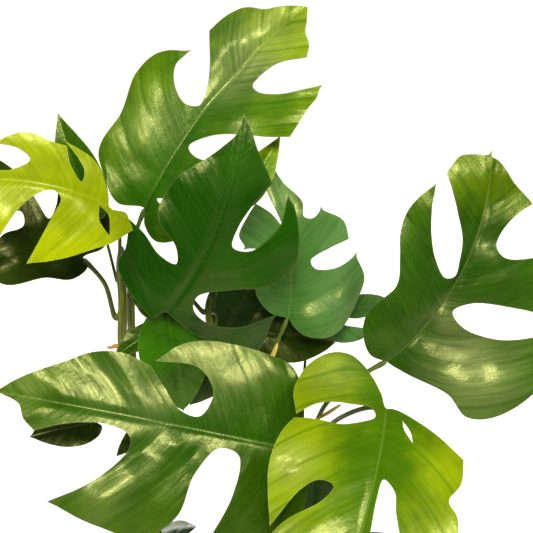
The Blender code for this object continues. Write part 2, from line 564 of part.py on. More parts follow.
# Leaves: each a split blade on its own round stalk.
stalk_look = material("Leaf stalk", (0.060, 0.115, 0.018), 0.45)
leaf_looks = {tone: material(f"Leaf {tone}", colour, 0.35) for tone, colour in TONES.items()}
for name, leaf in LEAVES.items():
    flat, triangles = flat_blade(OUTLINES[leaf["shape"]], HOLES.get(leaf["shape"], []),
                                 BLADE_GRID if "lance" not in leaf["shape"] else 13.0, 2)
    spots, normals = blade_surface(leaf, flat)
    upper = spots + normals * BLADE_THICKNESS / 2
    sheet = new_object(f"leaf_{name}", upper, triangles, leaf_looks[leaf["tone"]], plant)
    thick = sheet.modifiers.new("Blade thickness", "SOLIDIFY")
    thick.thickness = BLADE_THICKNESS * MM
    thick.offset = -1.0
    thick.use_even_offset = False

    radius = leaf["stalk"]
    centre, heading, girth = vine_at(leaf["vine"], leaf["height"], leaf["way"][0])
    start = centre + heading * (girth + GAP + radius * 1.25)
    heel, lift = blade_surface(leaf, np.array([(0.0, 0.0)]))
    end = heel[0] - lift[0] * (BLADE_THICKNESS / 2 + GAP + radius * 0.55)
    path = spline([start, *leaf["way"], end], 3)
    along = np.linspace(0.0, 1.0, len(path))
    girths = radius * (1.15 - 0.35 * along ** 2)
    girths[-1] = radius * 0.5
    verts, faces = tube_mesh(path, girths, STALK_SIDES)
    new_object(f"stalk_{name}", verts, faces, stalk_look, plant)

# Aerial roots: short tapering orange-brown nubs growing out of the vines.
root_look = material("Aerial root", (0.40, 0.15, 0.03), 0.7)
for name, (vine, height, reach, radius) in AERIAL_ROOTS.items():
    centre = vine_at(vine, height, (0, 0, 0))[0]
    centre, heading, girth = vine_at(vine, height, centre + reach)
    start = centre + heading * (girth + GAP + radius * 0.5)
    path = [start, start + np.array(reach) * 0.6, start + np.array(reach)]
    verts, faces = tube_mesh(path, [radius, radius * 0.9, radius * 0.45], STALK_SIDES)
    new_object(f"aerial_root_{name}", verts, faces, root_look, plant)

# Dried sheaths: the papery yellow wrapping left beside two of the stalks.
sheath_look = material("Dried sheath", (0.52, 0.36, 0.06), 0.7)
for name, sheath in SHEATHS.items():
    foot, top = np.array(sheath["foot"], float), np.array(sheath["top"], float)
    along = np.array([0.0, 0.25, 0.5, 0.75, 1.0])
    path = [foot + (top - foot) * t for t in along]
    girths = sheath["width"] * np.array([0.6, 0.62, 0.55, 0.38, 0.12])
    verts, faces = tube_mesh(path, girths, STALK_SIDES)
    new_object(f"sheath_{name}", verts, faces, sheath_look, plant)
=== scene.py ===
"""A potted mini monstera: clay pot, potting mix, four climbing vines and their split leaves."""

import bpy
import numpy as np
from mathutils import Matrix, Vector, geometry


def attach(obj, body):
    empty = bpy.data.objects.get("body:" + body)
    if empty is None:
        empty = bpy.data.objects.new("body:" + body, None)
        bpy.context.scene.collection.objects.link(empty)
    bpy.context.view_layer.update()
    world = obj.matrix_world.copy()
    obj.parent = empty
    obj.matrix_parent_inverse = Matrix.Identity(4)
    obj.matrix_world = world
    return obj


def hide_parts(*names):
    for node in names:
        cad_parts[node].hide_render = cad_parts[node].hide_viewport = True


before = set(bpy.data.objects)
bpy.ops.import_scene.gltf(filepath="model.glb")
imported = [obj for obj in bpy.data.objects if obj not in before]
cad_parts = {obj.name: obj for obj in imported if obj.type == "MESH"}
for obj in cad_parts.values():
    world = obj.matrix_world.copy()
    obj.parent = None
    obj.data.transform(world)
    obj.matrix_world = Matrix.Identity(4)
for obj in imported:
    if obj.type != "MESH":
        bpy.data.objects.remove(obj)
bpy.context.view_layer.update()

# ------------------------------------------------------------------ leaf blades: shape
# A mini monstera blade is a leathery sheet about half a millimetre thick, cut by deep rounded
# splits into lobes that curve toward the tip. It unrolls from the bud and then bends: it
# droops along the midrib, folds up from it and arches over toward the margins.
MM = 0.001                 # m
TIP = 0.0                  # marks a sharp corner in an outline
DRIP = 2.5                 # marks a corner drawn out into a fine point this long, in percent
DRIP_HALF_WIDTH = 0.9      # half the width at its neck, in percent
# Marks go round the blade from the stalk up the left margin and back down the right one, in
# percent of blade length: x along the midrib, y to the left of it.
OUTLINES = {
    "crown": [
        (0, 0), (-3, 10), (3, 20), (10, 28), (24, 28), (40, 32), (48.5, 30.5), (54, 26),
        (58, 20, DRIP), (51, 21), (45, 16), (41.5, 8), (44, 2.7), (50, 4), (58, 9.5),
        (68, 20, TIP), (75, 19), (81, 16), (87, 9), (94, 5), (100, 0, TIP), (95.5, -5),
        (91, -9.5), (88.5, -14), (84, -17.5, TIP), (74, -10.5), (63, -8.7), (61.5, -13.5),
        (66.5, -21.5), (80, -30, DRIP), (75, -32), (68, -33), (55.5, -35.5, TIP), (50, -29),
        (44.5, -20), (37, -9), (29.5, -4), (27.7, -8), (29, -15), (37, -26, TIP), (25, -28),
        (12, -17), (6, -4), (5, -12), (7, -26, TIP), (-3, -20), (-8, -12), (-5, -4)],
    "right": [
        (0, 0), (-3, 7), (2, 17), (12, 22), (30, 20), (43, 25), (54, 29), (66, 29.5),
        (75, 26.5), (83, 21, DRIP), (72, 20.5), (60, 17.5), (50, 12), (44.3, 5), (46.5, 1.8),
        (54, 3), (62, 5), (72, 10), (88.5, 17.5, TIP), (93, 15.3), (97, 12.3), (98, 6),
        (100, 0, DRIP), (96, -2.5), (92.5, -6), (88, -9.5), (81.5, -18, TIP), (77, -13),
        (70, -9), (64, -8.5), (61, -13), (64, -23), (70, -32, TIP), (60, -36), (49, -39, TIP),
        (47, -27), (41, -10), (34, -5), (31, -12), (34, -26), (46, -44, TIP), (34, -52),
        (17, -48), (9, -38), (10, -25), (4, -10)],
    "broad": [
        (0, 0), (-5, 8), (-6, 20), (0, 34), (10, 43), (26, 49, DRIP), (24, 37), (19, 19),
        (19, 6), (26, 5), (32, 14), (35, 28), (44, 37), (58, 36), (76, 31, TIP), (62, 21),
        (54, 10), (55, 6), (64, 4), (76, 6.5), (84.5, 10, TIP), (88.5, 7), (91, 2.7),
        (100, 0, DRIP), (94.5, -4), (86, -9.5), (79, -13.5), (72, -17.5), (62, -19),
        (52.6, -16.8, TIP), (47, -11), (41, -5), (34, -4), (31, -12), (37, -19),
        (51.4, -18.4, TIP), (43, -26), (32, -29), (16, -28), (7, -26), (2, -18), (-1, -8)],
    "lime": [
        (0, 0), (2, 5), (11, 19), (24, 38, TIP), (37, 38), (46, 34), (52, 39), (66, 42, TIP),
        (73, 33), (70, 20), (58, 13), (48, 10), (43, 4), (53, 3), (68, 4), (84, 5),
        (100, 0, TIP), (97, -12), (90, -42, TIP), (74, -34), (60, -20), (52, -17), (50, -24),
        (56, -31), (78, -40, TIP), (64, -45), (46, -49), (26, -47), (15.4, -42.6, TIP),
        (15, -30), (15, -18), (9, -5), (2, -7), (0, -18), (3, -32), (12, -42, TIP), (-8, -45),
        (-26, -39), (-36, -26), (-28, -12), (-10, -3)],
    "centre": [
        (0, 0), (-6, 3), (-6, 14), (-4, 24), (0, 32), (12, 33), (29, 38, TIP), (28, 29),
        (23, 18), (24, 9), (32, 13), (38, 24), (48, 28), (64, 24), (76, 14.5), (84.5, 6.5),
        (90.5, 1.8), (100, 0, DRIP), (95, -2.8), (91, -5.3), (86, -7.8), (80, -12.3),
        (73, -18, TIP), (62, -12), (52, -9), (43, -10), (44, -18), (50.5, -23.5), (58, -27.5),
        (70, -26.5, DRIP), (65.5, -31.5), (60.5, -34.7), (52, -38.7), (43, -41), (34, -35),
        (26, -19), (16, -7), (9, -9), (5, -20), (8, -37), (13, -42), (20, -48.5, DRIP),
        (14, -49.5), (7, -53), (-4, -57, TIP), (-5, -42), (-3, -18)],
    "grey": [
        (0, 0), (4, 12), (14, 21), (30, 25), (37, 32, DRIP), (39, 20), (39, 4), (43, 8),
        (47, 29, DRIP), (58, 30), (70, 22), (76, 16, TIP), (68, 9), (58, 3), (62, 4), (76, 7),
        (90, 7), (100, 0, TIP), (84, -4), (70, -12), (62, -11), (60, -16), (66, -22, DRIP),
        (56, -34), (46, -36, TIP), (42, -24), (36, -12), (31, -15), (31, -28), (39, -40, DRIP),
        (24, -46), (8, -40), (-7, -29), (-9, -14), (-5, -5)],
    "young": [
        (0, 0), (-12, -2), (-20, 6, TIP), (-8, 22), (12, 39), (30, 47), (50, 51, TIP), (44, 38),
        (37, 20), (34, 7), (40, 3), (55, 12), (80, 45, TIP), (91, 31), (100, 0, TIP), (86, -5),
        (66, -6), (56, -13), (63, -19), (76, -22, TIP), (60, -29), (46, -26), (37, -26, TIP),
        (33, -15), (24, -7), (24, -14), (38, -29, TIP), (20, -23), (8, -10)],
    "backed": [
        (0, 0), (-4, 5), (5, 18), (23, 24), (46, 37), (66, 32, TIP), (57, 7), (46, -4),
        (50, -12), (64, -2), (76, 17, TIP), (90, 9), (100, 0, TIP), (92, -20), (78, -46, TIP),
        (60, -38), (42, -22), (32, -14), (29, -24), (30, -44), (36, -58, TIP), (14, -62),
        (-8, -52), (-15, -34), (-12, -12)],
    "lance": [
        (0, 0), (-3, 6), (6, 15), (26, 21), (52, 19), (78, 9), (100, 0, DRIP), (80, -10),
        (54, -20), (26, -22), (6, -16), (-3, -6)],
    "heart": [
        (0, 0), (-9, 9), (-8, 24), (10, 39), (38, 43), (68, 33), (87, 14), (100, 0, DRIP),
        (85, -16), (66, -33), (38, -42), (10, -38), (-8, -24), (-9, -9)],
    "oval": [
        (0, 0), (-6, 8), (0, 21), (22, 31), (52, 28), (80, 14), (100, 0, DRIP), (80, -14),
        (52, -28), (22, -30), (0, -20), (-6, -8)],
    "narrow_split": [
        (0, 0), (-4, 8), (10, 15), (36, 17), (62, 18), (84, 12), (100, 0, TIP), (84, -8),
        (50, -14), (22, -8), (24, -16), (46, -25), (68, -30, TIP), (50, -42), (20, -42),
        (-4, -28), (-6, -10)],
    "notched": [
        (0, 0), (-6, 12), (4, 28), (24, 36), (50, 37), (66, 32, TIP), (56, 22), (50, 8),
        (60, 8), (74, 18), (84, 20, TIP), (92, 11), (100, 0, TIP), (90, -12), (76, -22, TIP),
        (62, -13), (48, -10), (50, -22), (58, -36, TIP), (34, -40), (10, -34), (-5, -20),
        (-5, -8)],
}
HOLES = {
    "young": [[(8, 2.6, TIP), (0, 5.5), (-6, 18, TIP), (5, 12)]],
    "lime": [[(9, 8, TIP), (16, 12.4), (22, 14, TIP), (15, 9.4)]],
}
# Each leaf: outline, stalk point and tip point in mm, facing direction, degrees of droop,
# sweep, fold and arch, the vine it grows from, way points of its stalk and stalk radius in mm.
LEAVES = {
    "crown": dict(shape="crown", base=(-69, 30, 462), tip=(39, 95, 578),
                  faces=(-0.32, -0.70, 0.60), droop=28, sweep=-15, fold=(14, 14),
                  arch=(-30, -30), tone="bright", vine="back", height=424,
                  way=[(-75, 31, 444)], stalk=1.7),
    "right": dict(shape="right", base=(92, -15, 370), tip=(157, 30, 504),
                  faces=(0.05, -0.72, 0.65), droop=20, sweep=50, fold=(8, 12),
                  arch=(-12, -18), tone="deep", vine="right", height=285,
                  way=[(54, -8, 332), (79, -14, 361)], stalk=1.9),
    "broad": dict(shape="broad", base=(31, -62, 335), tip=(-159, -62, 381),
                  faces=(0.0, -0.72, 0.66), droop=25, fold=(8, 8), arch=(-32, -32),
                  tone="mid", vine="centre", height=262, way=[(24, -36, 318)], stalk=2.1),
    "lime": dict(shape="lime", base=(86, -75, 378), tip=(53, -185, 326),
                 faces=(-0.05, -0.5, 0.86), droop=45, sweep=-15, fold=(8, 2),
                 arch=(-23, -12), tone="lime", vine="right", height=274,
                 way=[(57, -40, 340), (77, -66, 371)], stalk=1.9),
    "centre": dict(shape="centre", base=(-53, -20, 412), tip=(-2, 10, 538),
                   faces=(0.05, -0.85, 0.5), droop=30, sweep=35, fold=(-6, -6),
                   arch=(-30, -30), tone="deep", vine="centre", height=394,
                   way=[(-41, 4, 410)], stalk=1.6),
    "grey": dict(shape="grey", base=(27, 28, 377), tip=(13, 70, 479), faces=(0.1, -0.75, 0.6),
                 droop=30, sweep=28, fold=(12, 12), arch=(-25, -25), tone="grey",
                 vine="centre", height=314, way=[(16, 18, 352)], stalk=1.7),
    "young": dict(shape="young", base=(-86, -2, 479), tip=(-175, -25, 508),
                  faces=(-0.1, -0.75, 0.6), droop=30, sweep=35, fold=(8, 8),
                  arch=(-25, -25), tone="lime", vine="left", height=424,
                  way=[(-83, 6, 462)], stalk=1.4),
    "left_back": dict(shape="backed", base=(-111, 28, 426), tip=(-198, 10, 475),
                      faces=(-0.1, -0.6, 0.8), droop=30, fold=(6, 6), arch=(-25, -25),
                      tone="dark", vine="left", height=382, way=[(-98, 24, 408)],
                      stalk=1.9),
    "left_top": dict(shape="lance", base=(-104, 40, 450), tip=(-126, 62, 516),
                     faces=(-0.1, -0.75, 0.6), droop=30, fold=(12, 12), arch=(-25, -25),
                     tone="mid", vine="left", height=410, way=[(-96, 32, 437)],
                     stalk=1.2),
    "lime_back": dict(shape="lance", base=(-8, 25, 467), tip=(21, 45, 507),
                      faces=(0.1, -0.8, 0.5), droop=20, fold=(15, 15), arch=(-20, -20),
                      tone="bright", vine="centre", height=398, way=[(-16, 19, 440)],
                      stalk=1.0),
    "grey_small": dict(shape="narrow_split", base=(55, 72, 352), tip=(104, 60, 370),
                       faces=(0.1, -0.7, 0.65), droop=20, fold=(10, 10), arch=(-22, -22),
                       tone="grey", vine="right", height=296, way=[(46, 80, 338)],
                       stalk=1.2),
    "shaded": dict(shape="heart", base=(-16, 62, 346), tip=(9, 78, 394),
                   faces=(0.0, -0.8, 0.6), droop=15, fold=(10, 10), arch=(-20, -20),
                   tone="shade", vine="centre", height=333, way=[(-19, 64, 332)],
                   stalk=1.2),
    "glossy": dict(shape="oval", base=(4, 38, 360), tip=(63, 50, 342),
                   faces=(0.0, -0.8, 0.6), droop=35, fold=(10, 10), arch=(-25, -25),
                   tone="dark", vine="centre", height=324, way=[(-7, 30, 336), (-4, 42, 349)],
                   stalk=1.2),
    "inner_left": dict(shape="heart", base=(-47, 8, 401), tip=(-79, 5, 409),
                       faces=(0.0, -0.8, 0.6), droop=20, fold=(8, 8), arch=(-20, -20),
                       tone="mid", vine="centre", height=368, way=[(-37, 8, 391)],
                       stalk=0.9),
    "small_left": dict(shape="lance", base=(-57, 12, 380), tip=(-93, 2, 361),
                       faces=(0.0, -0.5, 0.85), droop=45, fold=(12, 12), arch=(-20, -20),
                       tone="mid", vine="centre", height=352, way=[(-38, 10, 376)],
                       stalk=0.9),
    "hanging": dict(shape="oval", base=(-53, -5, 400), tip=(-45, -13, 327),
                    faces=(0.0, -0.85, 0.5), droop=35, fold=(6, 6), arch=(-25, -25),
                    tone="mid", vine="centre", height=330, way=[(-40, 2, 382)],
                    stalk=1.2),
    "inner_dark": dict(shape="heart", base=(-28, 24, 368), tip=(-42, 8, 316),
                       faces=(0.0, -0.95, 0.3), droop=15, fold=(8, 8), arch=(-20, -20),
                       tone="shade", vine="centre", height=380,
                       way=[(-22, 20, 384), (-27, 33, 377)], stalk=1.0),
    "under_left": dict(shape="oval", base=(-104, -18, 323), tip=(-150, -26, 316),
                       faces=(0.0, -0.6, 0.8), droop=25, fold=(10, 10), arch=(-25, -25),
                       tone="dark", vine="left", height=314, way=[(-94, -8, 319)],
                       stalk=1.1),
    "under_mid": dict(shape="lance", base=(-62, -10, 318), tip=(-93, -20, 294),
                      faces=(0.0, -0.6, 0.8), droop=30, fold=(12, 12), arch=(-20, -20),
                      tone="dark", vine="left", height=262, way=[(-66, -4, 304)],
                      stalk=1.0),
    "under_lime": dict(shape="lance", base=(46, -12, 280), tip=(38, -45, 204),
                       faces=(0.15, -0.9, 0.4), droop=20, fold=(12, 12), arch=(-20, -20),
                       tone="shade", vine="right", height=240, way=[(47, -5, 268)],
                       stalk=1.2),
    "low_back": dict(shape="notched", base=(14, 42, 160), tip=(26, 134, 96),
                     faces=(0.0, 0.45, 0.9), droop=50, fold=(10, 10), arch=(-30, -30),
                     tone="dark", vine="centre", height=134, way=[(12, 26, 152)],
                     stalk=1.6),
    "low_back_left": dict(shape="notched", base=(-64, 46, 152), tip=(-124, 92, 86),
                          faces=(-0.3, 0.4, 0.9), droop=40, fold=(8, 8), arch=(-30, -30),
                          tone="mid", vine="back", height=138, way=[(-58, 38, 146)],
                          stalk=1.6),
    "low_right": dict(shape="centre", base=(84, 14, 166), tip=(164, 20, 124),
                      faces=(0.3, 0.1, 0.95), droop=45, fold=(8, 8), arch=(-28, -28),
                      tone="mid", vine="right", height=146, way=[(62, 14, 158)],
                      stalk=1.7),
    "low_left": dict(shape="notched", base=(-88, -14, 186), tip=(-176, -36, 150),
                     faces=(-0.2, -0.3, 0.95), droop=40, fold=(10, 10), arch=(-30, -30),
                     tone="deep", vine="left", height=150, way=[(-68, -4, 172)],
                     stalk=1.7),
    "low_front": dict(shape="right", base=(-8, -70, 196), tip=(-50, -164, 142),
                      faces=(0.0, -0.4, 0.9), droop=45, fold=(10, 10), arch=(-24, -24),
                      tone="deep", vine="centre", height=160, way=[(0, -40, 182)],
                      stalk=1.8),
}
BLADE_THICKNESS = 0.55     # mm
BLADE_STEP = 1.6           # mm between points of the finished sheet
ARCH_REACH = 0.45          # share of the length, out from the midrib, that turns by the arch
LOWER_SHEET = 100.0        # added to the distance to the rim, in mm, to mark the lower sheet
# Undulations of single leaves, each with a patch of painted highlight laid into the colour:
# (percent along, percent across, reach in mm, slope along, slope across, share of painted
# highlight).
SWELLS = {
    "right": [(18, -10, 14, -0.5, -0.15, 0.05), (21, -22, 18, -0.25, -0.3, 0.25),
              (24, -35, 18, -0.3, -0.4, 0.2), (32, -4, 9, -0.3, 0.1, 0.2),
              (62, -5, 7, -0.2, 0.05, 0.1), (86, -6, 14, 0.35, 0.2, 0.0)],
    "broad": [(33, -25, 16, 0.0, -0.1, 0.4), (42, -23, 12, 0.0, 0.0, 0.2),
              (22, -20, 12, -0.05, 0.15, 0.1), (50, -6, 12, -0.05, 0.1, 0.15),
              (66, -7, 11, 0.05, 0.05, 0.15), (90, -4, 10, 0.05, 0.05, 0.2),
              (61, 24, 13, -0.05, 0.25, 0.15)],
    "crown": [(70, -1, 20, 0.2, 0.45, 0.35), (54, 3, 14, -0.05, 0.25, 0.15),
              (88, 0, 13, 0.15, 0.0, 0.1), (28, 15, 17, 0.0, 0.05, 0.15)],
    "grey": [(6, -14, 15, -0.4, -0.15, 0.0), (16, -28, 10, -0.3, -0.3, 0.05),
             (72, -2, 12, -0.15, 0.45, 0.2)],
    "centre": [(76, 13, 10, -0.1, 0.0, 0.0)],
    "lime": [(44, -40, 12, -0.35, 0.2, 0.3), (-22, -26, 14, -0.5, -0.05, 0.2)],
}
# Height of the puffs between the side veins, as a share of the vein spacing.
COMMON_PUFF = 0.04
PUFFS = {"crown": 0.055, "right": 0.045, "broad": 0.05, "centre": 0.03, "lime": 0.035,
         "young": 0.035}
# Main side veins of each outline, left then right of the midrib: how far along the midrib each
# one leaves it, in percent of blade length.
VEINS = {
    "crown": ((-12, 0, 11, 21, 36, 50, 62, 76, 90), (-12, -2, 9, 20, 33, 44, 58, 72, 88)),
    "right": ((-12, 2, 14, 27, 40, 56, 74, 90), (-14, -3, 10, 21, 33, 46, 60, 76, 92)),
    "broad": ((-16, -5, 6, 15, 29, 43, 58, 76, 92), (-14, 0, 13, 27, 41, 56, 72, 90)),
    "lime": ((-14, 3, 18, 32, 47, 62, 80, 94), (-38, -24, -9, 5, 20, 34, 48, 66, 84)),
    "centre": ((-14, -4, 9, 20, 34, 50, 68, 86), (-22, -8, 7, 22, 38, 52, 68, 86)),
    "grey": ((-12, 2, 14, 26, 38, 52, 68, 86), (-18, -6, 8, 20, 32, 46, 62, 82)),
    "young": ((-20, -6, 8, 22, 38, 56, 78), (-14, 3, 20, 36, 52, 70, 88)),
}
COMMON_VEINS = ((-24, -10, 4, 18, 33, 49, 66, 84),) * 2


def unit(vector):
    """The same direction with a length of one."""
    vector = np.asarray(vector, float)
    return vector / np.linalg.norm(vector)


def spline(points, spacing):
    """Centripetal Catmull-Rom curve through the points, about one point per spacing."""
    points = np.asarray(points, float)
    padded = np.vstack([2 * points[0] - points[1], points, 2 * points[-1] - points[-2]])
    curve = []
    for k in range(len(points) - 1):
        p0, p1, p2, p3 = padded[k:k + 4]
        t1 = max(np.linalg.norm(p1 - p0), 1e-9) ** 0.5
        t2 = t1 + max(np.linalg.norm(p2 - p1), 1e-9) ** 0.5
        t3 = t2 + max(np.linalg.norm(p3 - p2), 1e-9) ** 0.5
        steps = max(2, int(np.ceil(np.linalg.norm(p2 - p1) / spacing)))
        t = np.linspace(t1, t2, steps, endpoint=False)[:, None]
        a1 = p0 + (p1 - p0) * t / t1
        a2 = p1 + (p2 - p1) * (t - t1) / (t2 - t1)
        a3 = p2 + (p3 - p2) * (t - t2) / (t3 - t2)
        b1 = a1 + (a2 - a1) * t / t2
        b2 = a2 + (a3 - a2) * (t - t1) / (t3 - t1)
        curve.append(b1 + (b2 - b1) * (t - t1) / (t2 - t1))
    return np.vstack([*curve, points[-1:]])


def drawn_out(marks):
    """The marks with a narrow neck added on both sides of every DRIP corner."""
    full = []
    for k, mark in enumerate(marks):
        if len(mark) < 3 or not mark[2]:
            full.append(mark)
            continue
        spot = np.array(mark[:2], float)
        before = unit(np.array(marks[k - 1][:2]) - spot)
        after = unit(np.array(marks[(k + 1) % len(marks)][:2]) - spot)
        inward = unit(before + after)
        side = np.array([-inward[1], inward[0]]) * DRIP_HALF_WIDTH
        side *= np.sign(side.dot(before))
        neck = spot + inward * mark[2]
        full += [tuple(neck + side), mark, tuple(neck - side)]
    return full


def outline_loop(marks, spacing):
    """Closed outline: smooth through ordinary marks, cornered at TIP and DRIP marks."""
    marks = drawn_out(marks)
    corners = [k for k, mark in enumerate(marks) if len(mark) > 2]
    flat = np.array([mark[:2] for mark in marks], float)
    runs = []
    for here, after in zip(corners, corners[1:] + [corners[0] + len(marks)]):
        runs.append(spline([flat[k % len(marks)] for k in range(here, after + 1)], spacing)[:-1])
    return np.vstack(runs)


def inside(points, loop):
    """Even-odd test: a point is inside when a ray to its right crosses the loop an odd count."""
    x, y = points[:, 0][:, None], points[:, 1][:, None]
    x1, y1 = loop[:, 0], loop[:, 1]
    x2, y2 = np.roll(x1, -1), np.roll(y1, -1)
    rise = np.where(y1 == y2, 1e-12, y2 - y1)
    crosses = ((y1 > y) != (y2 > y)) & (x < (x2 - x1) * (y - y1) / rise + x1)
    return crosses.sum(axis=1) % 2 == 1


def distance_to(points, loop):
    """Shortest distance from each point to a closed loop of straight edges."""
    ahead = np.roll(loop, -1, axis=0) - loop
    length = np.maximum((ahead ** 2).sum(axis=1), 1e-12)
    best = np.full(len(points), 1e9)
    for start in range(0, len(points), 2000):
        offset = points[start:start + 2000, None] - loop[None]
        t = np.clip((offset * ahead).sum(axis=2) / length, 0, 1)
        gap = np.linalg.norm(offset - t[..., None] * ahead, axis=2)
        best[start:start + 2000] = gap.min(axis=1)
    return best


def flat_blade(marks, holes, spacing):
    """Flat blade in percent of its length: points, triangles, rim edges and rim distance.

    The outline is splined, a triangular grid fills it, and a constrained Delaunay
    triangulation joins them; triangles outside the outline or in a hole are dropped.
    """
    loops = [outline_loop(marks, spacing)] + [outline_loop(hole, spacing) for hole in holes]
    border = np.vstack(loops)
    ends = np.cumsum([0] + [len(loop) for loop in loops])
    edges = [(a + k, a + (k + 1) % (b - a)) for a, b in zip(ends, ends[1:]) for k in range(b - a)]
    rows = np.arange(-110.0, 110.0, spacing * 0.866)
    x, y = np.meshgrid(np.arange(-50.0, 101.0, spacing), rows, indexing="ij")
    x = x + spacing / 2 * (np.arange(len(rows)) % 2)
    grid = np.stack([x.ravel(), y.ravel()], axis=1)
    grid = grid[inside(grid, loops[0])]
    gap = np.min([distance_to(grid, loop) for loop in loops], axis=0)
    grid = grid[gap > spacing * 0.55]
    for loop in loops[1:]:
        grid = grid[~inside(grid, loop)]
    points = np.vstack([border, grid])
    made = geometry.delaunay_2d_cdt([Vector(p) for p in points], edges, [], 0, 1e-7)
    points = np.array([tuple(p) for p in made[0]])
    triangles = np.array([tuple(face) for face in made[2]])
    middle = points[triangles].mean(axis=1)
    keep = inside(middle, loops[0])
    for loop in loops[1:]:
        keep &= ~inside(middle, loop)
    triangles = triangles[keep]
    pairs = np.vstack([triangles[:, [0, 1]], triangles[:, [1, 2]], triangles[:, [2, 0]]])
    known = {tuple(pair) for pair in pairs.tolist()}
    rim = np.array([(a, b) for a, b in known if (b, a) not in known])
    gap = np.min([distance_to(points, loop) for loop in loops], axis=0)
    return points, triangles, rim, gap


def blade_place(leaf):
    """Function from flat blade points to world mm, and the blade length in mm.

    The midrib is the integral of a direction that droops and sweeps evenly from base to tip,
    turned and scaled so that it ends on the leaf's two points. Across it, each half leaves at
    the fold angle and then bends round evenly with the arch angle, as an arc of a circle.
    """
    s = np.linspace(-0.6, 1.3, 381)
    run = np.clip(s, 0.0, None)
    droop, sweep = np.radians(leaf["droop"]) * run, np.radians(leaf.get("sweep", 0.0)) * run
    along = np.stack([np.cos(droop) * np.cos(sweep), np.cos(droop) * np.sin(sweep),
                      -np.sin(droop)], axis=1)
    across = np.stack([-np.sin(sweep), np.cos(sweep), 0 * sweep], axis=1)
    above = np.cross(along, across)
    line = np.vstack([np.zeros(3), np.cumsum((along[1:] + along[:-1]) / 2, axis=0)])
    line *= s[1] - s[0]
    line -= [np.interp(0.0, s, line[:, k]) for k in range(3)]
    chord = np.array([np.interp(1.0, s, line[:, k]) for k in range(3)])
    base, tip = np.array(leaf["base"], float), np.array(leaf["tip"], float)
    length = np.linalg.norm(tip - base) / np.linalg.norm(chord)
    local_x = unit(chord)
    local_z = unit(np.array([0.0, 0.0, 1.0]) - local_x[2] * local_x)
    local = np.stack([local_x, np.cross(local_z, local_x), local_z])
    world_x = unit(tip - base)
    facing = np.array(leaf["faces"], float)
    world_z = unit(facing - facing.dot(world_x) * world_x)
    world = np.stack([world_x, np.cross(world_z, world_x), world_z])
    turn = world.T @ local
    folds = np.radians(np.array(leaf["fold"], float))
    arches = np.radians(np.array(leaf["arch"], float))

    def place(x, y):
        side = np.where(y >= 0, 0, 1)
        fold, arch = folds[side], arches[side]
        bend = fold + arch * np.abs(y) / ARCH_REACH
        out = ARCH_REACH / arch * (np.sin(bend) - np.sin(fold)) * np.where(y >= 0, 1.0, -1.0)
        rise = -ARCH_REACH / arch * (np.cos(bend) - np.cos(fold))
        spot = [np.interp(x, s, line[:, k]) + out * np.interp(x, s, across[:, k])
                + rise * np.interp(x, s, above[:, k]) for k in range(3)]
        return base + length * np.stack(spot, axis=-1) @ turn.T

    return place, length


def blade_normal(place, x, y):
    """Unit vectors square to the smooth blade, from its slopes 0.3% of the length each way."""
    h = 0.003
    normal = np.cross(place(x + h, y) - place(x - h, y), place(x, y + h) - place(x, y - h))
    return normal / np.linalg.norm(normal, axis=1)[:, None]


def vein_start(flat):
    """Where the side vein through each point left the midrib, in percent of blade length.

    A vein that starts at v runs along x = v + (0.1 + 0.012 v) |y| + 0.01 y squared.
    """
    out = np.abs(flat[:, 1])
    return (flat[:, 0] - 0.1 * out - 0.010 * out ** 2) / (1 + 0.012 * out)


def vein_place(flat, veins):
    """Per point: fraction of the way from one main side vein to the next, their spacing in
    percent, counted as 16 at most, and the number of the strip between them.
    """
    start = vein_start(flat)
    part, pitch, strip = np.zeros(len(flat)), np.ones(len(flat)), np.zeros(len(flat), int)
    for half, marks in enumerate(veins):
        marks = np.array([-90.0, *marks, 130.0])
        mine = (flat[:, 1] >= 0) == (half == 0)
        k = np.clip(np.searchsorted(marks, start[mine]) - 1, 0, len(marks) - 2)
        pitch[mine] = np.minimum(marks[k + 1] - marks[k], 16.0)
        part[mine] = np.clip((start[mine] - marks[k]) / (marks[k + 1] - marks[k]), 0, 1)
        strip[mine] = k + 20 * half
    return part, pitch, strip


def blade_relief(flat, length, part, pitch, strip, puff, seed, swells):
    """Height in mm above the smooth blade.

    A valley along the midrib; a valley along each main side vein with the blade puffed up
    between them; finer ribs along the veins; long waves that grow toward the margins; and each
    swell as (slope along dx + slope across dy) exp(-(distance / reach)^2).
    """
    random = np.random.default_rng(seed)
    x, y = flat[:, 0] * length / 100, flat[:, 1] * length / 100
    out = np.abs(y)
    settle = np.clip((out - 1.0) / 12.0, 0, 1)
    cushion = np.sqrt(np.sin(np.pi * part) ** 2 + 0.06) - 0.245
    cushion *= random.uniform(0.35, 1.25, 40)[strip] * pitch * length / 100
    midrib = -1.1 * np.exp(-(out / 2.2) ** 2)
    swell = np.zeros(len(flat))
    for wave in (38, 52, 70, 95):
        heading, start = random.uniform(0, 2 * np.pi, 2)
        swell += wave / 50 * np.sin(
            2 * np.pi * (x * np.cos(heading) + y * np.sin(heading)) / wave + start)
    swell *= 0.7 * np.clip(out / 22.0, 0, 1)
    fine = np.zeros(len(flat))
    for wave in (4.3, 6.1, 8.7):
        start = random.uniform(0, 2 * np.pi)
        fine += wave / 6 * np.sin(2 * np.pi * vein_start(flat) * length / 100 / wave + start
                                  + 1.5 * np.sin(out / 9 + start))
    for middle_x, middle_y, reach, rise, lean, _ in swells:
        dx, dy = (flat - (middle_x, middle_y)).T * length / 100
        swell += (rise * dx + lean * dy) * np.exp(-(dx ** 2 + dy ** 2) / reach ** 2)
    return puff * settle * cushion + midrib + swell + 0.03 * settle * fine


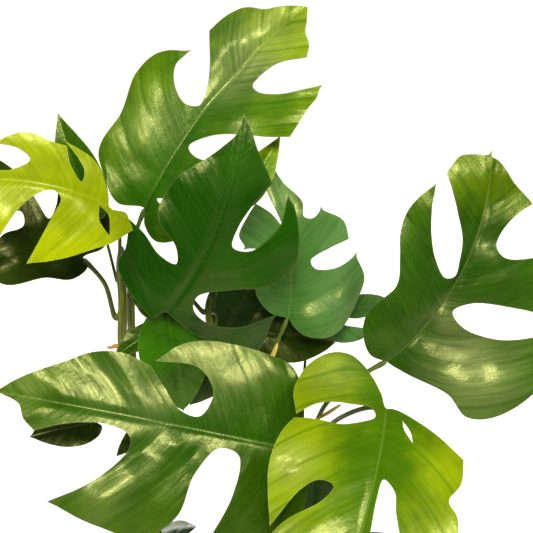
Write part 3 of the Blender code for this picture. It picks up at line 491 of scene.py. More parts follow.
def put_mesh(name, verts, faces):
    """Mesh object from points in mm; its place is in the mesh."""
    mesh = bpy.data.meshes.new(name)
    mesh.from_pydata((np.asarray(verts) * MM).tolist(), [], [list(map(int, f)) for f in faces])
    mesh.validate()
    mesh.polygons.foreach_set("use_smooth", [True] * len(mesh.polygons))
    mesh.set_sharp_from_angle(angle=np.radians(48))
    thing = bpy.data.objects.new(name, mesh)
    bpy.context.scene.collection.objects.link(thing)
    return thing


def put_vectors(thing, label, vectors):
    """Gives each point of a piece a vector that its material can read."""
    layer = thing.data.attributes.new(label, "FLOAT_VECTOR", "POINT")
    layer.data.foreach_set("vector", vectors.ravel())


def leaf_blade(name, leaf, seed):
    """Closed blade: an upper and a lower sheet of the same grid, joined round the rim.

    The lower sheet hangs under the midrib as a round rib that tapers toward the tip.
    """
    place, length = blade_place(leaf)
    flat, triangles, rim, gap = flat_blade(OUTLINES[leaf["shape"]],
                                           HOLES.get(leaf["shape"], []),
                                           BLADE_STEP / length * 100)
    x, y = flat[:, 0] / 100, flat[:, 1] / 100
    normal = blade_normal(place, x, y)
    part, pitch, strip = vein_place(flat, VEINS.get(leaf["shape"], COMMON_VEINS))
    relief = blade_relief(flat, length, part, pitch, strip, PUFFS.get(name, COMMON_PUFF), seed,
                          SWELLS.get(name, []))
    middle = place(x, y) + normal * relief[:, None]
    out = np.abs(flat[:, 1]) * length / 100
    rib = 1.5 * np.exp(-(out / 1.3) ** 2) * np.clip(1.05 - x, 0, 1) * np.clip(gap, 0, 1)
    upper = middle + normal * BLADE_THICKNESS / 2
    lower = middle - normal * (BLADE_THICKNESS / 2 + rib)[:, None]
    count = len(flat)
    faces = np.vstack([triangles, triangles[:, ::-1] + count])
    walls = [(b, a, a + count, b + count) for a, b in rim]
    blade = put_mesh(f"blade_{name}", np.vstack([upper, lower]), [*faces, *walls])
    aside = np.minimum(part, 1 - part) * pitch * length / 100
    grain = np.stack([vein_start(flat) * length / 100, out, x], axis=1)
    edge = np.stack([gap * length / 100, aside, np.abs(y) / 0.4], axis=1)
    under = edge + (LOWER_SHEET, 0, 0)
    # Painted highlight: share of pale silvery green laid into the colour round each swell, upper
    # sheet only.
    chalky_bloom_and_painted_highlight = np.zeros(2 * count)
    for middle_x, middle_y, reach, *_, share in SWELLS.get(name, []):
        dx, dy = (flat - (middle_x, middle_y)).T * length / 100
        chalky_bloom_and_painted_highlight[:count] += share * np.exp(-(dx ** 2 + dy ** 2) / (1.25 * reach) ** 2)
    blade.data.attributes.new("chalky_bloom_and_painted_highlight", "FLOAT", "POINT").data.foreach_set("value", chalky_bloom_and_painted_highlight)
    put_vectors(blade, "grain", np.vstack([grain, grain]))
    put_vectors(blade, "edge", np.vstack([edge, under]))
    return blade


# ------------------------------------------------------------------ leaf blades: finish
# Living leaf: waxy, wet-looking cuticle over green flesh. The wax gives broad silvery
# highlights that break into streaks along the veins, and pale silvery patches of painted
# highlight are laid into the colour where the shine is strongest; young leaves are yellower
# and brighter.


def linear(code, alpha=1.0):
    """sRGB hex colour as linear red, green, blue and alpha."""
    value = np.array([int(code[k:k + 2], 16) for k in (1, 3, 5)]) / 255
    value = np.where(value <= 0.04045, value / 12.92, ((value + 0.055) / 1.055) ** 2.4)
    return (*value.tolist(), alpha)


def node(tree, kind, links=None, **settings):
    """Adds a node; settings set its properties, links set its inputs to values or sockets."""
    made = tree.nodes.new(kind)
    for key, value in settings.items():
        setattr(made, key, value)
    for key, value in (links or {}).items():
        if isinstance(value, bpy.types.NodeSocket):
            tree.links.new(value, made.inputs[key])
        else:
            made.inputs[key].default_value = value
    return made


def new_material(name, **uniform):
    """Material with only a Principled BSDF; uniform values are set on its own sockets."""
    made = bpy.data.materials.new(name)
    made.use_nodes = True
    tree = made.node_tree
    shader = tree.nodes["Principled BSDF"]
    for key, value in uniform.items():
        shader.inputs[key.replace("_", " ")].default_value = value
    return made, tree, shader


MIX, MATH, RAMP = "ShaderNodeMix", "ShaderNodeMath", "ShaderNodeMapRange"
NOISE, PLACE, PARTS = "ShaderNodeTexNoise", "ShaderNodeTexCoord", "ShaderNodeSeparateXYZ"
SOFT = {"interpolation_type": "SMOOTHSTEP"}
BLEND = {"data_type": "RGBA"}


def leaf_finish(name, inner, outer, far, under):
    """Waxed leaf: inner colour by the midrib, outer toward the margin, far toward the tip.

    Mix sockets: 0 share, 6 and 7 colours. Map Range sockets: 0 value, 1 and 2 from, 3 and 4 to.
    """
    made, tree, shader = new_material(name, IOR=1.5, Specular_Tint=(0.95, 1.0, 0.42, 1.0))
    grain = node(tree, "ShaderNodeAttribute", attribute_name="grain").outputs["Vector"]
    vein, side, along = node(tree, PARTS, {0: grain}).outputs
    edge = node(tree, "ShaderNodeAttribute", attribute_name="edge").outputs["Vector"]
    mark, aside, out = node(tree, PARTS, {0: edge}).outputs
    lower = node(tree, MATH, {0: mark, 1: LOWER_SHEET - 1}, operation="GREATER_THAN").outputs[0]
    rim = node(tree, MATH, {0: lower, 1: -LOWER_SHEET, 2: mark},
               operation="MULTIPLY_ADD").outputs[0]
    place = node(tree, PLACE).outputs["Object"]
    # Blotches 28 mm across, from uneven chlorophyll.
    blotch = node(tree, NOISE, {"Vector": place, "Scale": 1000 / 28, "Detail": 3.0,
                                "Roughness": 0.55}).outputs[0]
    # Streaks 2.4 mm wide and 20 mm long that follow the side veins.
    across = node(tree, MATH, {0: vein, 1: 1 / 2.4}, operation="MULTIPLY").outputs[0]
    length = node(tree, MATH, {0: side, 1: 1 / 20}, operation="MULTIPLY").outputs[0]
    run = node(tree, "ShaderNodeCombineXYZ", {0: across, 1: length}).outputs[0]
    streak = node(tree, NOISE, {"Vector": run, "Scale": 1.0, "Detail": 4.0,
                                "Roughness": 0.6}).outputs[0]
    # Colour: inner to outer to far, with ragged borders, then lighter and darker streaks.
    drift = node(tree, MATH, {0: blotch, 1: 0.9, 2: -0.45}, operation="MULTIPLY_ADD").outputs[0]
    spread = node(tree, MATH, {0: out, 1: drift}, operation="ADD").outputs[0]
    share = node(tree, RAMP, {0: spread, 1: 0.1, 2: 0.95}, **SOFT).outputs[0]
    colour = node(tree, MIX, {0: share, 6: linear(inner), 7: linear(outer)}, **BLEND).outputs[2]
    tipward = node(tree, MATH, {0: blotch, 1: 0.4, 2: along}, operation="MULTIPLY_ADD").outputs[0]
    share = node(tree, RAMP, {0: tipward, 1: 0.8, 2: 1.25}, **SOFT).outputs[0]
    colour = node(tree, MIX, {0: share, 6: colour, 7: linear(far)}, **BLEND).outputs[2]
    lines = node(tree, RAMP, {0: streak, 1: 0.3, 2: 0.7, 3: 0.9, 4: 1.07}, **SOFT).outputs[0]
    cloud = node(tree, RAMP, {0: blotch, 1: 0.3, 2: 0.7, 3: -0.1, 4: 0.1}, **SOFT).outputs[0]
    shade = node(tree, MATH, {0: lines, 1: cloud}, operation="ADD").outputs[0]
    colour = node(tree, MIX, {0: 1.0, 6: colour, 7: shade}, blend_type="MULTIPLY",
                  **BLEND).outputs[2]
    # Painted highlight: a pale silvery green laid into the colour in streaky patches.
    chalky_bloom_and_painted_highlight = node(tree, "ShaderNodeAttribute", attribute_name="chalky_bloom_and_painted_highlight").outputs["Fac"]
    patchy = node(tree, RAMP, {0: streak, 1: 0.3, 2: 0.7, 3: 0.5, 4: 1.0}, **SOFT).outputs[0]
    share = node(tree, MATH, {0: chalky_bloom_and_painted_highlight, 1: patchy}, operation="MULTIPLY").outputs[0]
    colour = node(tree, MIX, {0: share, 6: colour, 7: linear("#bac483")}, **BLEND).outputs[2]
    # Each main side vein is darker out to 1.8 mm, painted shade in the valley the vein runs in; the
    # midrib is a thin paler line.
    pale = tuple(np.mean([linear(outer), linear("#c2cc8e")], axis=0).tolist())
    share = node(tree, RAMP, {0: aside, 1: 0.2, 2: 1.8, 3: 0.55, 4: 0.0}, **SOFT).outputs[0]
    colour = node(tree, MIX, {0: share, 6: colour, 7: linear(inner)}, **BLEND).outputs[2]
    share = node(tree, RAMP, {0: side, 1: 0.25, 2: 0.8, 3: 0.14, 4: 0.0}, **SOFT).outputs[0]
    colour = node(tree, MIX, {0: share, 6: colour, 7: pale}, **BLEND).outputs[2]
    share = node(tree, MATH, {0: lower, 1: 0.85}, operation="MULTIPLY").outputs[0]
    colour = node(tree, MIX, {0: share, 6: colour, 7: linear(under)}, **BLEND).outputs[2]
    share = node(tree, RAMP, {0: rim, 1: 0.1, 2: 0.6, 3: 0.25, 4: 0.0}, **SOFT).outputs[0]
    colour = node(tree, MIX, {0: share, 6: colour, 7: pale}, **BLEND).outputs[2]
    tree.links.new(colour, shader.inputs["Base Color"])
    # Gloss: waxy and streaked above, duller below.
    wax = node(tree, RAMP, {0: streak, 1: 0.3, 2: 0.7, 3: 0.22, 4: 0.33}, **SOFT).outputs[0]
    gloss = node(tree, MATH, {0: lower, 1: 0.2, 2: wax}, operation="MULTIPLY_ADD").outputs[0]
    tree.links.new(gloss, shader.inputs["Roughness"])
    # Shallow wrinkles 7 mm across and a 1.1 mm cell texture break up the shine.
    wrinkle = node(tree, NOISE, {"Vector": place, "Scale": 1000 / 7, "Detail": 3.0,
                                 "Roughness": 0.55}).outputs[0]
    cells = node(tree, NOISE, {"Vector": place, "Scale": 1000 / 1.1, "Detail": 2.0}).outputs[0]
    height = node(tree, MATH, {0: cells, 1: 0.08}, operation="MULTIPLY").outputs[0]
    height = node(tree, MATH, {0: wrinkle, 1: 0.55, 2: height},
                  operation="MULTIPLY_ADD").outputs[0]
    height = node(tree, MATH, {0: streak, 1: 0.2, 2: height}, operation="MULTIPLY_ADD").outputs[0]
    bump = node(tree, "ShaderNodeBump", {"Height": height, "Strength": 0.6, "Distance": 0.0008})
    tree.links.new(bump.outputs[0], shader.inputs["Normal"])
    return made


# name: colour by the midrib, toward the margin, toward the tip, and underneath
FINISHES = {
    "crown": ("#285c02", "#587e02", "#86a206", "#7f8f30"),
    "bright": ("#4c7a02", "#86a602", "#8aa602", "#84963a"),
    "young": ("#869c02", "#a0b202", "#92a402", "#a9b440"),
    "lime": ("#447002", "#809a02", "#3c5c02", "#a3ae38"),
    "mid": ("#225002", "#3c6008", "#446806", "#74803c"),
    "deep": ("#124400", "#164c00", "#205600", "#647c38"),
    "right": ("#1a4600", "#2e5c00", "#567400", "#7a7c34"),
    "hanging": ("#2c6404", "#38700c", "#38700c", "#74803c"),
    "dark": ("#1c3202", "#263c04", "#2e4806", "#546438"),
    "grey": ("#427632", "#58884a", "#7ea062", "#8a9c5c"),
    # shade is a darker, bluer copy of the leaf colours: painted shade for leaves deep inside the
    # plant.
    "shade": ("#264420", "#2e4e28", "#34542a", "#4a5c3c"),
}
leaf_materials = {
    name: leaf_finish(f"Waxed leaf {name}", *codes) for name, codes in FINISHES.items()}
for seed, (name, leaf) in enumerate(LEAVES.items()):
    blade = leaf_blade(name, leaf, seed + 11)
    look = name if name in leaf_materials else leaf["tone"]
    blade.data.materials.append(leaf_materials[look])
    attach(blade, "root")
    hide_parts(f"leaf_{name}")

# ------------------------------------------------------------------ vines
# The climbing stems: green, round, about 7 mm thick, with a swollen ring at each old leaf
# scar. They grow out of the potting mix.
SOIL_TOP = 110.0
GAP = 0.3                  # mm the plant's solids leave between them
VINES = {
    "left": [(-36, 14, SOIL_TOP + GAP, 3.6), (-42, 14, 128, 3.6), (-66, 12, 162, 3.6),
             (-78, 11, 194, 3.6), (-78, 12, 232, 3.6), (-77, 15, 275, 3.6), (-81, 18, 318, 3.5),
             (-88, 20, 356, 3.4), (-86, 21, 397, 3.2), (-86, 22, 424, 2.8),
             (-84, 20, 438, 2.0)],
    "centre": [(12, 4, SOIL_TOP + GAP, 3.8), (13, 4, 128, 3.8), (21, 2, 205, 3.7),
               (20, 1, 245, 3.6), (12, 2, 285, 3.5), (-1, 4, 325, 3.4), (-16, 7, 361, 3.0),
               (-27, 10, 389, 2.2), (-26, 12, 405, 1.6)],
    "back": [(-47, 24, SOIL_TOP + GAP, 3.0), (-51, 25, 130, 3.0), (-68, 29, 165, 3.0),
             (-82, 32, 205, 3.0), (-86, 35, 260, 3.0), (-85, 36, 302, 3.0),
             (-84, 36, 344, 2.9), (-82.5, 36, 387, 2.8), (-80, 36, 420, 2.6),
             (-77.5, 35, 434, 2.2)],
    "right": [(34, 14, SOIL_TOP + GAP, 3.4), (35, 13, 130, 3.4), (41, 7, 195, 3.4),
              (40, 6, 240, 3.2), (37, 6, 275, 2.9), (36, 7, 302, 2.4)],
}
RING_SPACING = 29.0        # mm between leaf scars
TUBE_STEP = 1.5            # mm between circles of a finished stem


def run_along(path):
    """Distance along a path to each of its points, in mm."""
    return np.concatenate([[0.0], np.cumsum(np.linalg.norm(np.diff(path, axis=0), axis=1))])


def tube(path, radii, sides):
    """Round tube: circles of the given radii carried along the path, ends closed in a point.

    Each circle stands square to the path; its start direction is carried from one to the next
    so that the tube doesn't twist. Returns points, faces and, per point, its place on a circle
    of 3 mm radius and its distance along the path.
    """
    ahead = np.gradient(path, axis=0)
    ahead /= np.linalg.norm(ahead, axis=1)[:, None]
    side = np.cross(ahead[0], (0.0, 0.0, 1.0) if abs(ahead[0][2]) < 0.9 else (0.0, 1.0, 0.0))
    angle = np.arange(sides) * 2 * np.pi / sides
    rings = []
    for point, direction, radius in zip(path, ahead, radii):
        side = unit(side - side.dot(direction) * direction)
        other = np.cross(direction, side)
        rings.append(point + np.outer(np.cos(angle) * radius, side)
                     + np.outer(np.sin(angle) * radius, other))
    count = len(path)
    verts = np.vstack([*rings, path[:1] - ahead[:1] * radii[0] * 0.3,
                       path[-1:] + ahead[-1:] * radii[-1] * 0.3])
    ring, turn = np.meshgrid(np.arange(count - 1), np.arange(sides), indexing="ij")
    after = (turn + 1) % sides
    quads = np.stack([ring * sides + turn, ring * sides + after, (ring + 1) * sides + after,
                      (ring + 1) * sides + turn], axis=-1).reshape(-1, 4)
    first, last = count * sides, count * sides + 1
    caps = [(first, (k + 1) % sides, k) for k in range(sides)]
    top = (count - 1) * sides
    caps += [(last, top + k, top + (k + 1) % sides) for k in range(sides)]
    length = run_along(path)
    wrap = np.stack([np.tile(np.cos(angle), count) * 3, np.tile(np.sin(angle), count) * 3,
                     np.repeat(length, sides)], axis=1)
    wrap = np.vstack([wrap, [(0, 0, 0)], [(0, 0, length[-1])]])
    return verts, [*quads, *caps], wrap


def put_tube(name, path, radii, sides, look):
    """Tube as a finished piece, with its wrap for the bark's streaks."""
    verts, faces, wrap = tube(path, radii, sides)
    thing = put_mesh(name, verts, faces)
    put_vectors(thing, "wrap", wrap)
    thing.data.materials.append(look)
    return thing


def stem_finish(name, main, pale, brown, rough, brown_share):
    """Plant stem: streaks 0.9 mm wide and 18 mm long, with brown corky flecks of 1.8 mm."""
    made, tree, shader = new_material(name, IOR=1.45)
    wrap = node(tree, "ShaderNodeAttribute", attribute_name="wrap").outputs["Vector"]
    lines = node(tree, "ShaderNodeMapping", {"Vector": wrap, "Scale": (1.0, 1.0, 0.05)})
    streak = node(tree, NOISE, {"Vector": lines.outputs[0], "Scale": 1 / 0.9,
                                "Detail": 4.0}).outputs[0]
    flecks = node(tree, "ShaderNodeMapping", {"Vector": wrap, "Scale": (1.0, 1.0, 0.3)})
    fleck = node(tree, NOISE, {"Vector": flecks.outputs[0], "Scale": 1 / 1.8, "Detail": 5.0,
                               "Roughness": 0.65}).outputs[0]
    share = node(tree, RAMP, {0: streak, 1: 0.36, 2: 0.64}, **SOFT).outputs[0]
    colour = node(tree, MIX, {0: share, 6: linear(main), 7: linear(pale)}, **BLEND).outputs[2]
    share = node(tree, RAMP, {0: fleck, 1: 0.68 - brown_share, 2: 0.78 - brown_share},
                 **SOFT).outputs[0]
    colour = node(tree, MIX, {0: share, 6: colour, 7: linear(brown)}, **BLEND).outputs[2]
    tree.links.new(colour, shader.inputs["Base Color"])
    gloss = node(tree, RAMP, {0: fleck, 1: 0.4, 2: 0.7, 3: rough, 4: rough + 0.2}, **SOFT)
    tree.links.new(gloss.outputs[0], shader.inputs["Roughness"])
    height = node(tree, MATH, {0: streak, 1: fleck}, operation="ADD").outputs[0]
    bump = node(tree, "ShaderNodeBump", {"Height": height, "Strength": 0.5, "Distance": 0.0005})
    tree.links.new(bump.outputs[0], shader.inputs["Normal"])
    return made


vine_look = stem_finish("Green vine bark", "#4c5c10", "#7f8a2a", "#5c4520", 0.42, 0.06)
for name, marks in VINES.items():
    curve = spline(marks, TUBE_STEP)
    run = run_along(curve[:, :3])
    # A raised ring about 4 mm wide at each scar, a fine groove past it, and a tapered end.
    beat = (run + 9.0) % RING_SPACING - 6.0
    swell = 1 + 0.16 * np.exp(-(beat / 2.2) ** 2) - 0.05 * np.exp(-((beat - 3.2) / 0.8) ** 2)
    swell *= np.where(run > run[-1] - 3, 1 - 0.12 * (run - run[-1] + 3), 1.0)
    vine = put_tube(f"stem_{name}", curve[:, :3], curve[:, 3] * swell, 24, vine_look)
    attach(vine, "root")
    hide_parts(f"vine_{name}")

# ------------------------------------------------------------------ leaf stalks
# Each blade hangs on a firm round stalk. It leaves the vine as a wider clasping base, thins
# along its length and swells again in a short knee just under the blade.
stalk_look = stem_finish("Green leaf stalk", "#3c4f12", "#62742a", "#6b5324", 0.36, 0.0)


def vine_side(vine, height, toward):
    """Centre point, outward direction toward a point, and radius of a vine at a height."""
    marks = spline(VINES[vine], TUBE_STEP)
    centre = np.array([np.interp(height, marks[:, 2], marks[:, k]) for k in range(3)])
    ahead = np.array([np.interp(height + 4, marks[:, 2], marks[:, k]) for k in range(3)])
    along = unit(ahead - centre)
    heading = np.asarray(toward, float) - centre
    heading = unit(heading - heading.dot(along) * along)
    return centre, heading, np.interp(height, marks[:, 2], marks[:, 3])


for name, leaf in LEAVES.items():
    radius = leaf["stalk"]
    centre, heading, girth = vine_side(leaf["vine"], leaf["height"], leaf["way"][0])
    start = centre + heading * (girth + GAP + radius * 0.8)
    place, length = blade_place(leaf)
    zero = np.zeros(1)
    heel = place(zero, zero)[0]
    lift = blade_normal(place, zero, zero)[0]
    inward = unit(place(zero + 0.009, zero)[0] - heel)
    end = heel - lift * (BLADE_THICKNESS / 2 + radius * 0.5) + inward * 1.5
    path = spline([start - heading * radius * 1.2, start, *leaf["way"], end], TUBE_STEP)
    run = np.linspace(0, 1, len(path))
    # Distances from the vine's end and from the blade's end, in mm.
    foot = np.cumsum(np.linalg.norm(np.diff(path, axis=0, append=path[-1:]), axis=1))
    knee = foot[-1] - foot
    radii = radius * (0.92 + 0.45 * np.exp(-(foot / 5.0) ** 2) - 0.12 * run
                      + 0.22 * np.exp(-((knee - 5.0) / 4.0) ** 2))
    radii = radii * np.clip(0.35 + knee / 2.5, 0, 1)
    stalk = put_tube(f"petiole_{name}", path, radii, 16, stalk_look)
    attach(stalk, "root")
    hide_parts(f"stalk_{name}")

# ------------------------------------------------------------------ aerial roots
# Short blunt roots that grow out of the vine at the leaf scars: dry, matt, orange-brown.
AERIAL_ROOTS = {
    "left": ("left", 360, (-7.0, -3.5, 1.0), 1.5),
    "centre": ("centre", 296, (-6.0, 8.0, -4.0), 1.4),
}
root_look = stem_finish("Corky aerial root", "#c48434", "#dfae4e", "#8a5424", 0.7, 0.06)
for name, (vine, height, reach, radius) in AERIAL_ROOTS.items():
    centre = vine_side(vine, height, (0, 0, 0))[0]
    centre, heading, girth = vine_side(vine, height, centre + reach)
    start = centre + heading * (girth - 0.5)
    reach = np.array(reach)
    path = spline([start, start + reach * 0.35 + (0, 0, 0.6), start + reach * 0.75,
                   start + reach * 1.1 + (0, 0, 0.6)], 0.6)
    run = np.linspace(0, 1, len(path))
    root = put_tube(f"root_nub_{name}", path, radius * (1.15 - 0.75 * run ** 1.5), 14, root_look)
    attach(root, "root")
    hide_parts(f"aerial_root_{name}")

# ------------------------------------------------------------------ dried sheaths
# Papery remains of the bud scale that once wrapped each young leaf: a narrow curled strip,
# straw yellow, split down one side and pointed at the top.
SHEATHS = {
    "grey": dict(foot=(13, 8, 350), top=(20, 13, 367), width=2.2),
    "right": dict(foot=(46, -15, 322), top=(63, -22, 341), width=1.8),
}
sheath_look = stem_finish("Papery dried sheath", "#c2a23c", "#d8c673", "#8c6a22", 0.75, 0.04)
for name, sheath in SHEATHS.items():
    foot, top = np.array(sheath["foot"], float), np.array(sheath["top"], float)
    t, turn = np.meshgrid(np.linspace(0, 1, 40), np.linspace(-1, 1, 13), indexing="ij")
    ahead = unit(top - foot)
    side = unit(np.cross(ahead, (0.0, -1.0, 0.3)))
    face = np.cross(side, ahead)
    width = sheath["width"] * (0.35 + 0.65 * np.sin(np.pi * np.clip(t * 0.9 + 0.08, 0, 1)) ** 0.7)
    width *= np.clip((1 - t) / 0.12, 0.02, 1)
    curl = turn * 2.0
    spot = (foot + (top - foot) * t[..., None] + side * (np.sin(curl) * width * 0.75)[..., None]
            + face * ((1 - np.cos(curl)) * -width * 0.6 + 1.6 * np.sin(np.pi * t))[..., None])
    rows, columns = t.shape
    index = np.arange(rows * columns).reshape(rows, columns)
    quads = np.stack([index[:-1, :-1], index[:-1, 1:], index[1:, 1:], index[1:, :-1]],
                     axis=-1).reshape(-1, 4)
    strip = put_mesh(f"husk_{name}", spot.reshape(-1, 3), quads)
    put_vectors(strip, "wrap", np.stack([curl * 2, curl * 0, t * 20], axis=-1))
    strip.data.materials.append(sheath_look)
    thick = strip.modifiers.new("Paper thickness", "SOLIDIFY")
    thick.thickness = 0.25 * MM
    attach(strip, "root")
    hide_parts(f"sheath_{name}")

# ------------------------------------------------------------------ pot
# Plain terracotta: red clay thrown on a wheel and fired without glaze. The wheel leaves faint
# rings, and the rim has a thick plain band to lift it by.
POT_HEIGHT = 125.0
POT_RIM = 75.0             # outer radius at the top
POT_FOOT = 50.0            # outer radius at the bottom
POT_WALL = 5.0
POT_FLOOR = 7.0
BAND_HEIGHT = 26.0
DRAIN_HOLES = 4
DRAIN_RADIUS = 5.0
DRAIN_CIRCLE = 30.0        # radius of the circle that the drain holes stand on


def turned(profile, sides):
    """Closed solid: a profile of (radius, height) from axis to axis turned round Z."""
    profile = np.asarray(profile, float)
    ring = profile[1:-1]
    angle = np.arange(sides) * 2 * np.pi / sides
    verts = np.stack([np.outer(np.cos(angle), ring[:, 0]), np.outer(np.sin(angle), ring[:, 0]),
                      np.tile(ring[:, 1], (sides, 1))], axis=-1).reshape(-1, 3)
    rows = len(ring)
    k, j = np.meshgrid(np.arange(sides), np.arange(rows - 1), indexing="ij")
    after = (k + 1) % sides
    quads = np.stack([k * rows + j, after * rows + j, after * rows + j + 1, k * rows + j + 1],
                     axis=-1).reshape(-1, 4)
    verts = np.vstack([verts, (0, 0, profile[0, 1]), (0, 0, profile[-1, 1])])
    low, high = sides * rows, sides * rows + 1
    caps = [(low, ((m + 1) % sides) * rows, m * rows) for m in range(sides)]
    caps += [(high, m * rows + rows - 1, ((m + 1) % sides) * rows + rows - 1)
             for m in range(sides)]
    return verts, [*quads, *caps]


def clay_finish():
    """Fired terracotta: mottled 17 mm patches, chalky bloom low down, 0.7 mm sand grains."""
    made, tree, shader = new_material("Terracotta, fired and unglazed", Roughness=0.85)
    place = node(tree, PLACE).outputs["Object"]
    patch = node(tree, NOISE, {"Vector": place, "Scale": 1000 / 17, "Detail": 6.0,
                               "Roughness": 0.6}).outputs[0]
    sand = node(tree, NOISE, {"Vector": place, "Scale": 1000 / 0.7, "Detail": 2.0}).outputs[0]
    share = node(tree, RAMP, {0: patch, 1: 0.3, 2: 0.7}, **SOFT).outputs[0]
    colour = node(tree, MIX, {0: share, 6: linear("#a85a36"), 7: linear("#c07a52")},
                  **BLEND).outputs[2]
    height = node(tree, PARTS, {0: place}).outputs[2]
    low = node(tree, RAMP, {0: height, 1: 0.0, 2: 0.09, 3: 0.55, 4: 0.08}, **SOFT).outputs[0]
    damp = node(tree, RAMP, {0: patch, 1: 0.45, 2: 0.72}, **SOFT).outputs[0]
    chalky_bloom_and_painted_highlight = node(tree, MATH, {0: damp, 1: low}, operation="MULTIPLY").outputs[0]
    colour = node(tree, MIX, {0: chalky_bloom_and_painted_highlight, 6: colour, 7: linear("#dcc3ae")}, **BLEND).outputs[2]
    share = node(tree, RAMP, {0: sand, 1: 0.62, 2: 0.8, 3: 0.0, 4: 0.35}, **SOFT).outputs[0]
    colour = node(tree, MIX, {0: share, 6: colour, 7: linear("#7c3f26")}, **BLEND).outputs[2]
    tree.links.new(colour, shader.inputs["Base Color"])
    # Wheel rings 2.4 mm apart.
    level = node(tree, "ShaderNodeCombineXYZ", {2: height}).outputs[0]
    rings = node(tree, NOISE, {"Vector": level, "Scale": 1000 / 2.4, "Detail": 3.0}).outputs[0]
    grit = node(tree, MATH, {0: sand, 1: 0.35}, operation="MULTIPLY").outputs[0]
    relief = node(tree, MATH, {0: rings, 1: 1.2, 2: grit}, operation="MULTIPLY_ADD").outputs[0]
    bump = node(tree, "ShaderNodeBump", {"Height": relief, "Strength": 0.35, "Distance": 0.0006})
    tree.links.new(bump.outputs[0], shader.inputs["Normal"])
    return made


clay = clay_finish()
band_foot = POT_HEIGHT - BAND_HEIGHT
pot_marks = [
    (0, 0), (POT_FOOT - 2.5, 0), (POT_FOOT - 0.8, 0.6), (POT_FOOT, 2.4),
    (POT_FOOT + 9.3, 48), (POT_FOOT + 18.6, band_foot - 2.4),
    (POT_FOOT + 19.4, band_foot - 0.9), (POT_FOOT + 21.2, band_foot - 0.1),
    (POT_FOOT + 22.6, band_foot + 0.8), (POT_FOOT + 23.1, band_foot + 2.4),
    (POT_RIM - 0.6, POT_HEIGHT - 5), (POT_RIM - 0.2, POT_HEIGHT - 2.6),
    (POT_RIM - 1.4, POT_HEIGHT - 0.6), (POT_RIM - 3.2, POT_HEIGHT),
    (POT_RIM - 5.2, POT_HEIGHT - 0.5), (POT_RIM - 6.5, POT_HEIGHT - 2.6),
    (POT_FOOT - POT_WALL + 2, POT_FLOOR + 2), (POT_FOOT - POT_WALL, POT_FLOOR), (0, POT_FLOOR)]
verts, faces = turned(pot_marks, 128)
pot = put_mesh("clay_pot", verts, faces)
for k in range(DRAIN_HOLES):
    angle = 2 * np.pi * (k + 0.5) / DRAIN_HOLES
    drill_path = [(DRAIN_CIRCLE * np.cos(angle), DRAIN_CIRCLE * np.sin(angle), z)
                  for z in (-4.0, 3.0, POT_FLOOR + 5)]
    drill_verts, drill_faces, _ = tube(np.array(drill_path), [DRAIN_RADIUS] * 3, 32)
    drill = put_mesh(f"drill_{k}", drill_verts, drill_faces)
    cut = pot.modifiers.new(f"Drain hole {k + 1}", "BOOLEAN")
    cut.object, cut.operation, cut.solver = drill, "DIFFERENCE", "EXACT"
    bpy.context.view_layer.objects.active = pot
    bpy.ops.object.modifier_apply(modifier=cut.name)
    bpy.data.objects.remove(drill, do_unlink=True)
pot.data.materials.append(clay)
pot.data.set_sharp_from_angle(angle=np.radians(40))
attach(pot, "root")
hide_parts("pot")

# ------------------------------------------------------------------ potting mix
# Damp peat with bark chips and white perlite, filled to 15 mm under the rim. The surface is
# crumbly and a little higher round the stems.
INNER_FOOT = POT_FOOT - POT_WALL + 2.0
WALL_SLOPE = (POT_RIM - 6.5 - INNER_FOOT) / (POT_HEIGHT - POT_FLOOR - 4.0)
WALL_FALL = 2.2            # mm that the surface drops toward the pot
MOUND = 2.4                # mm that it rises round a stem
MOUND_AREA = 90.0          # square of its reach from the stem, in square mm


def crumble(x, y, seed=5):
    """Lumpy height in mm: waves of many directions and lengths from 4 to 30 mm, added up."""
    random = np.random.default_rng(seed)
    height = np.zeros_like(x)
    for wave in np.geomspace(30, 4, 22):
        heading, start = random.uniform(0, 2 * np.pi, 2)
        height += (wave / 30) ** 0.55 * np.sin(
            2 * np.pi * (x * np.cos(heading) + y * np.sin(heading)) / wave + start)
    return height * 0.42


def soil_height(x, y):
    """Height in mm above the mean surface: crumbs, less a fall that is steep near the wall."""
    return crumble(x, y) - WALL_FALL * np.clip(np.hypot(x, y) / side_radii[-1], 0, 1) ** 6


def soil_finish():
    """Damp peat: near-black brown in 7 mm patches, darkened in the gaps between 3 mm crumbs as
    painted shade.
    """
    made, tree, shader = new_material("Damp peat potting mix", Roughness=0.9)
    place = node(tree, PLACE).outputs["Object"]
    crumb = node(tree, "ShaderNodeTexVoronoi", {"Vector": place, "Scale": 1000 / 3}).outputs[0]
    patch = node(tree, NOISE, {"Vector": place, "Scale": 1000 / 7, "Detail": 6.0}).outputs[0]
    share = node(tree, RAMP, {0: patch, 1: 0.35, 2: 0.7}, **SOFT).outputs[0]
    colour = node(tree, MIX, {0: share, 6: linear("#2a1d14"), 7: linear("#54402c")},
                  **BLEND).outputs[2]
    # Painted shade: darker toward the edge of each crumb, in the gaps where the surface dips.
    share = node(tree, RAMP, {0: crumb, 1: 0.1, 2: 0.6, 3: 0.0, 4: 0.7}, **SOFT).outputs[0]
    colour = node(tree, MIX, {0: share, 6: colour, 7: linear("#1c130d")}, **BLEND).outputs[2]
    tree.links.new(colour, shader.inputs["Base Color"])
    relief = node(tree, MATH, {0: patch, 1: crumb}, operation="SUBTRACT").outputs[0]
    bump = node(tree, "ShaderNodeBump", {"Height": relief, "Strength": 0.9, "Distance": 0.0015})
    tree.links.new(bump.outputs[0], shader.inputs["Normal"])
    return made


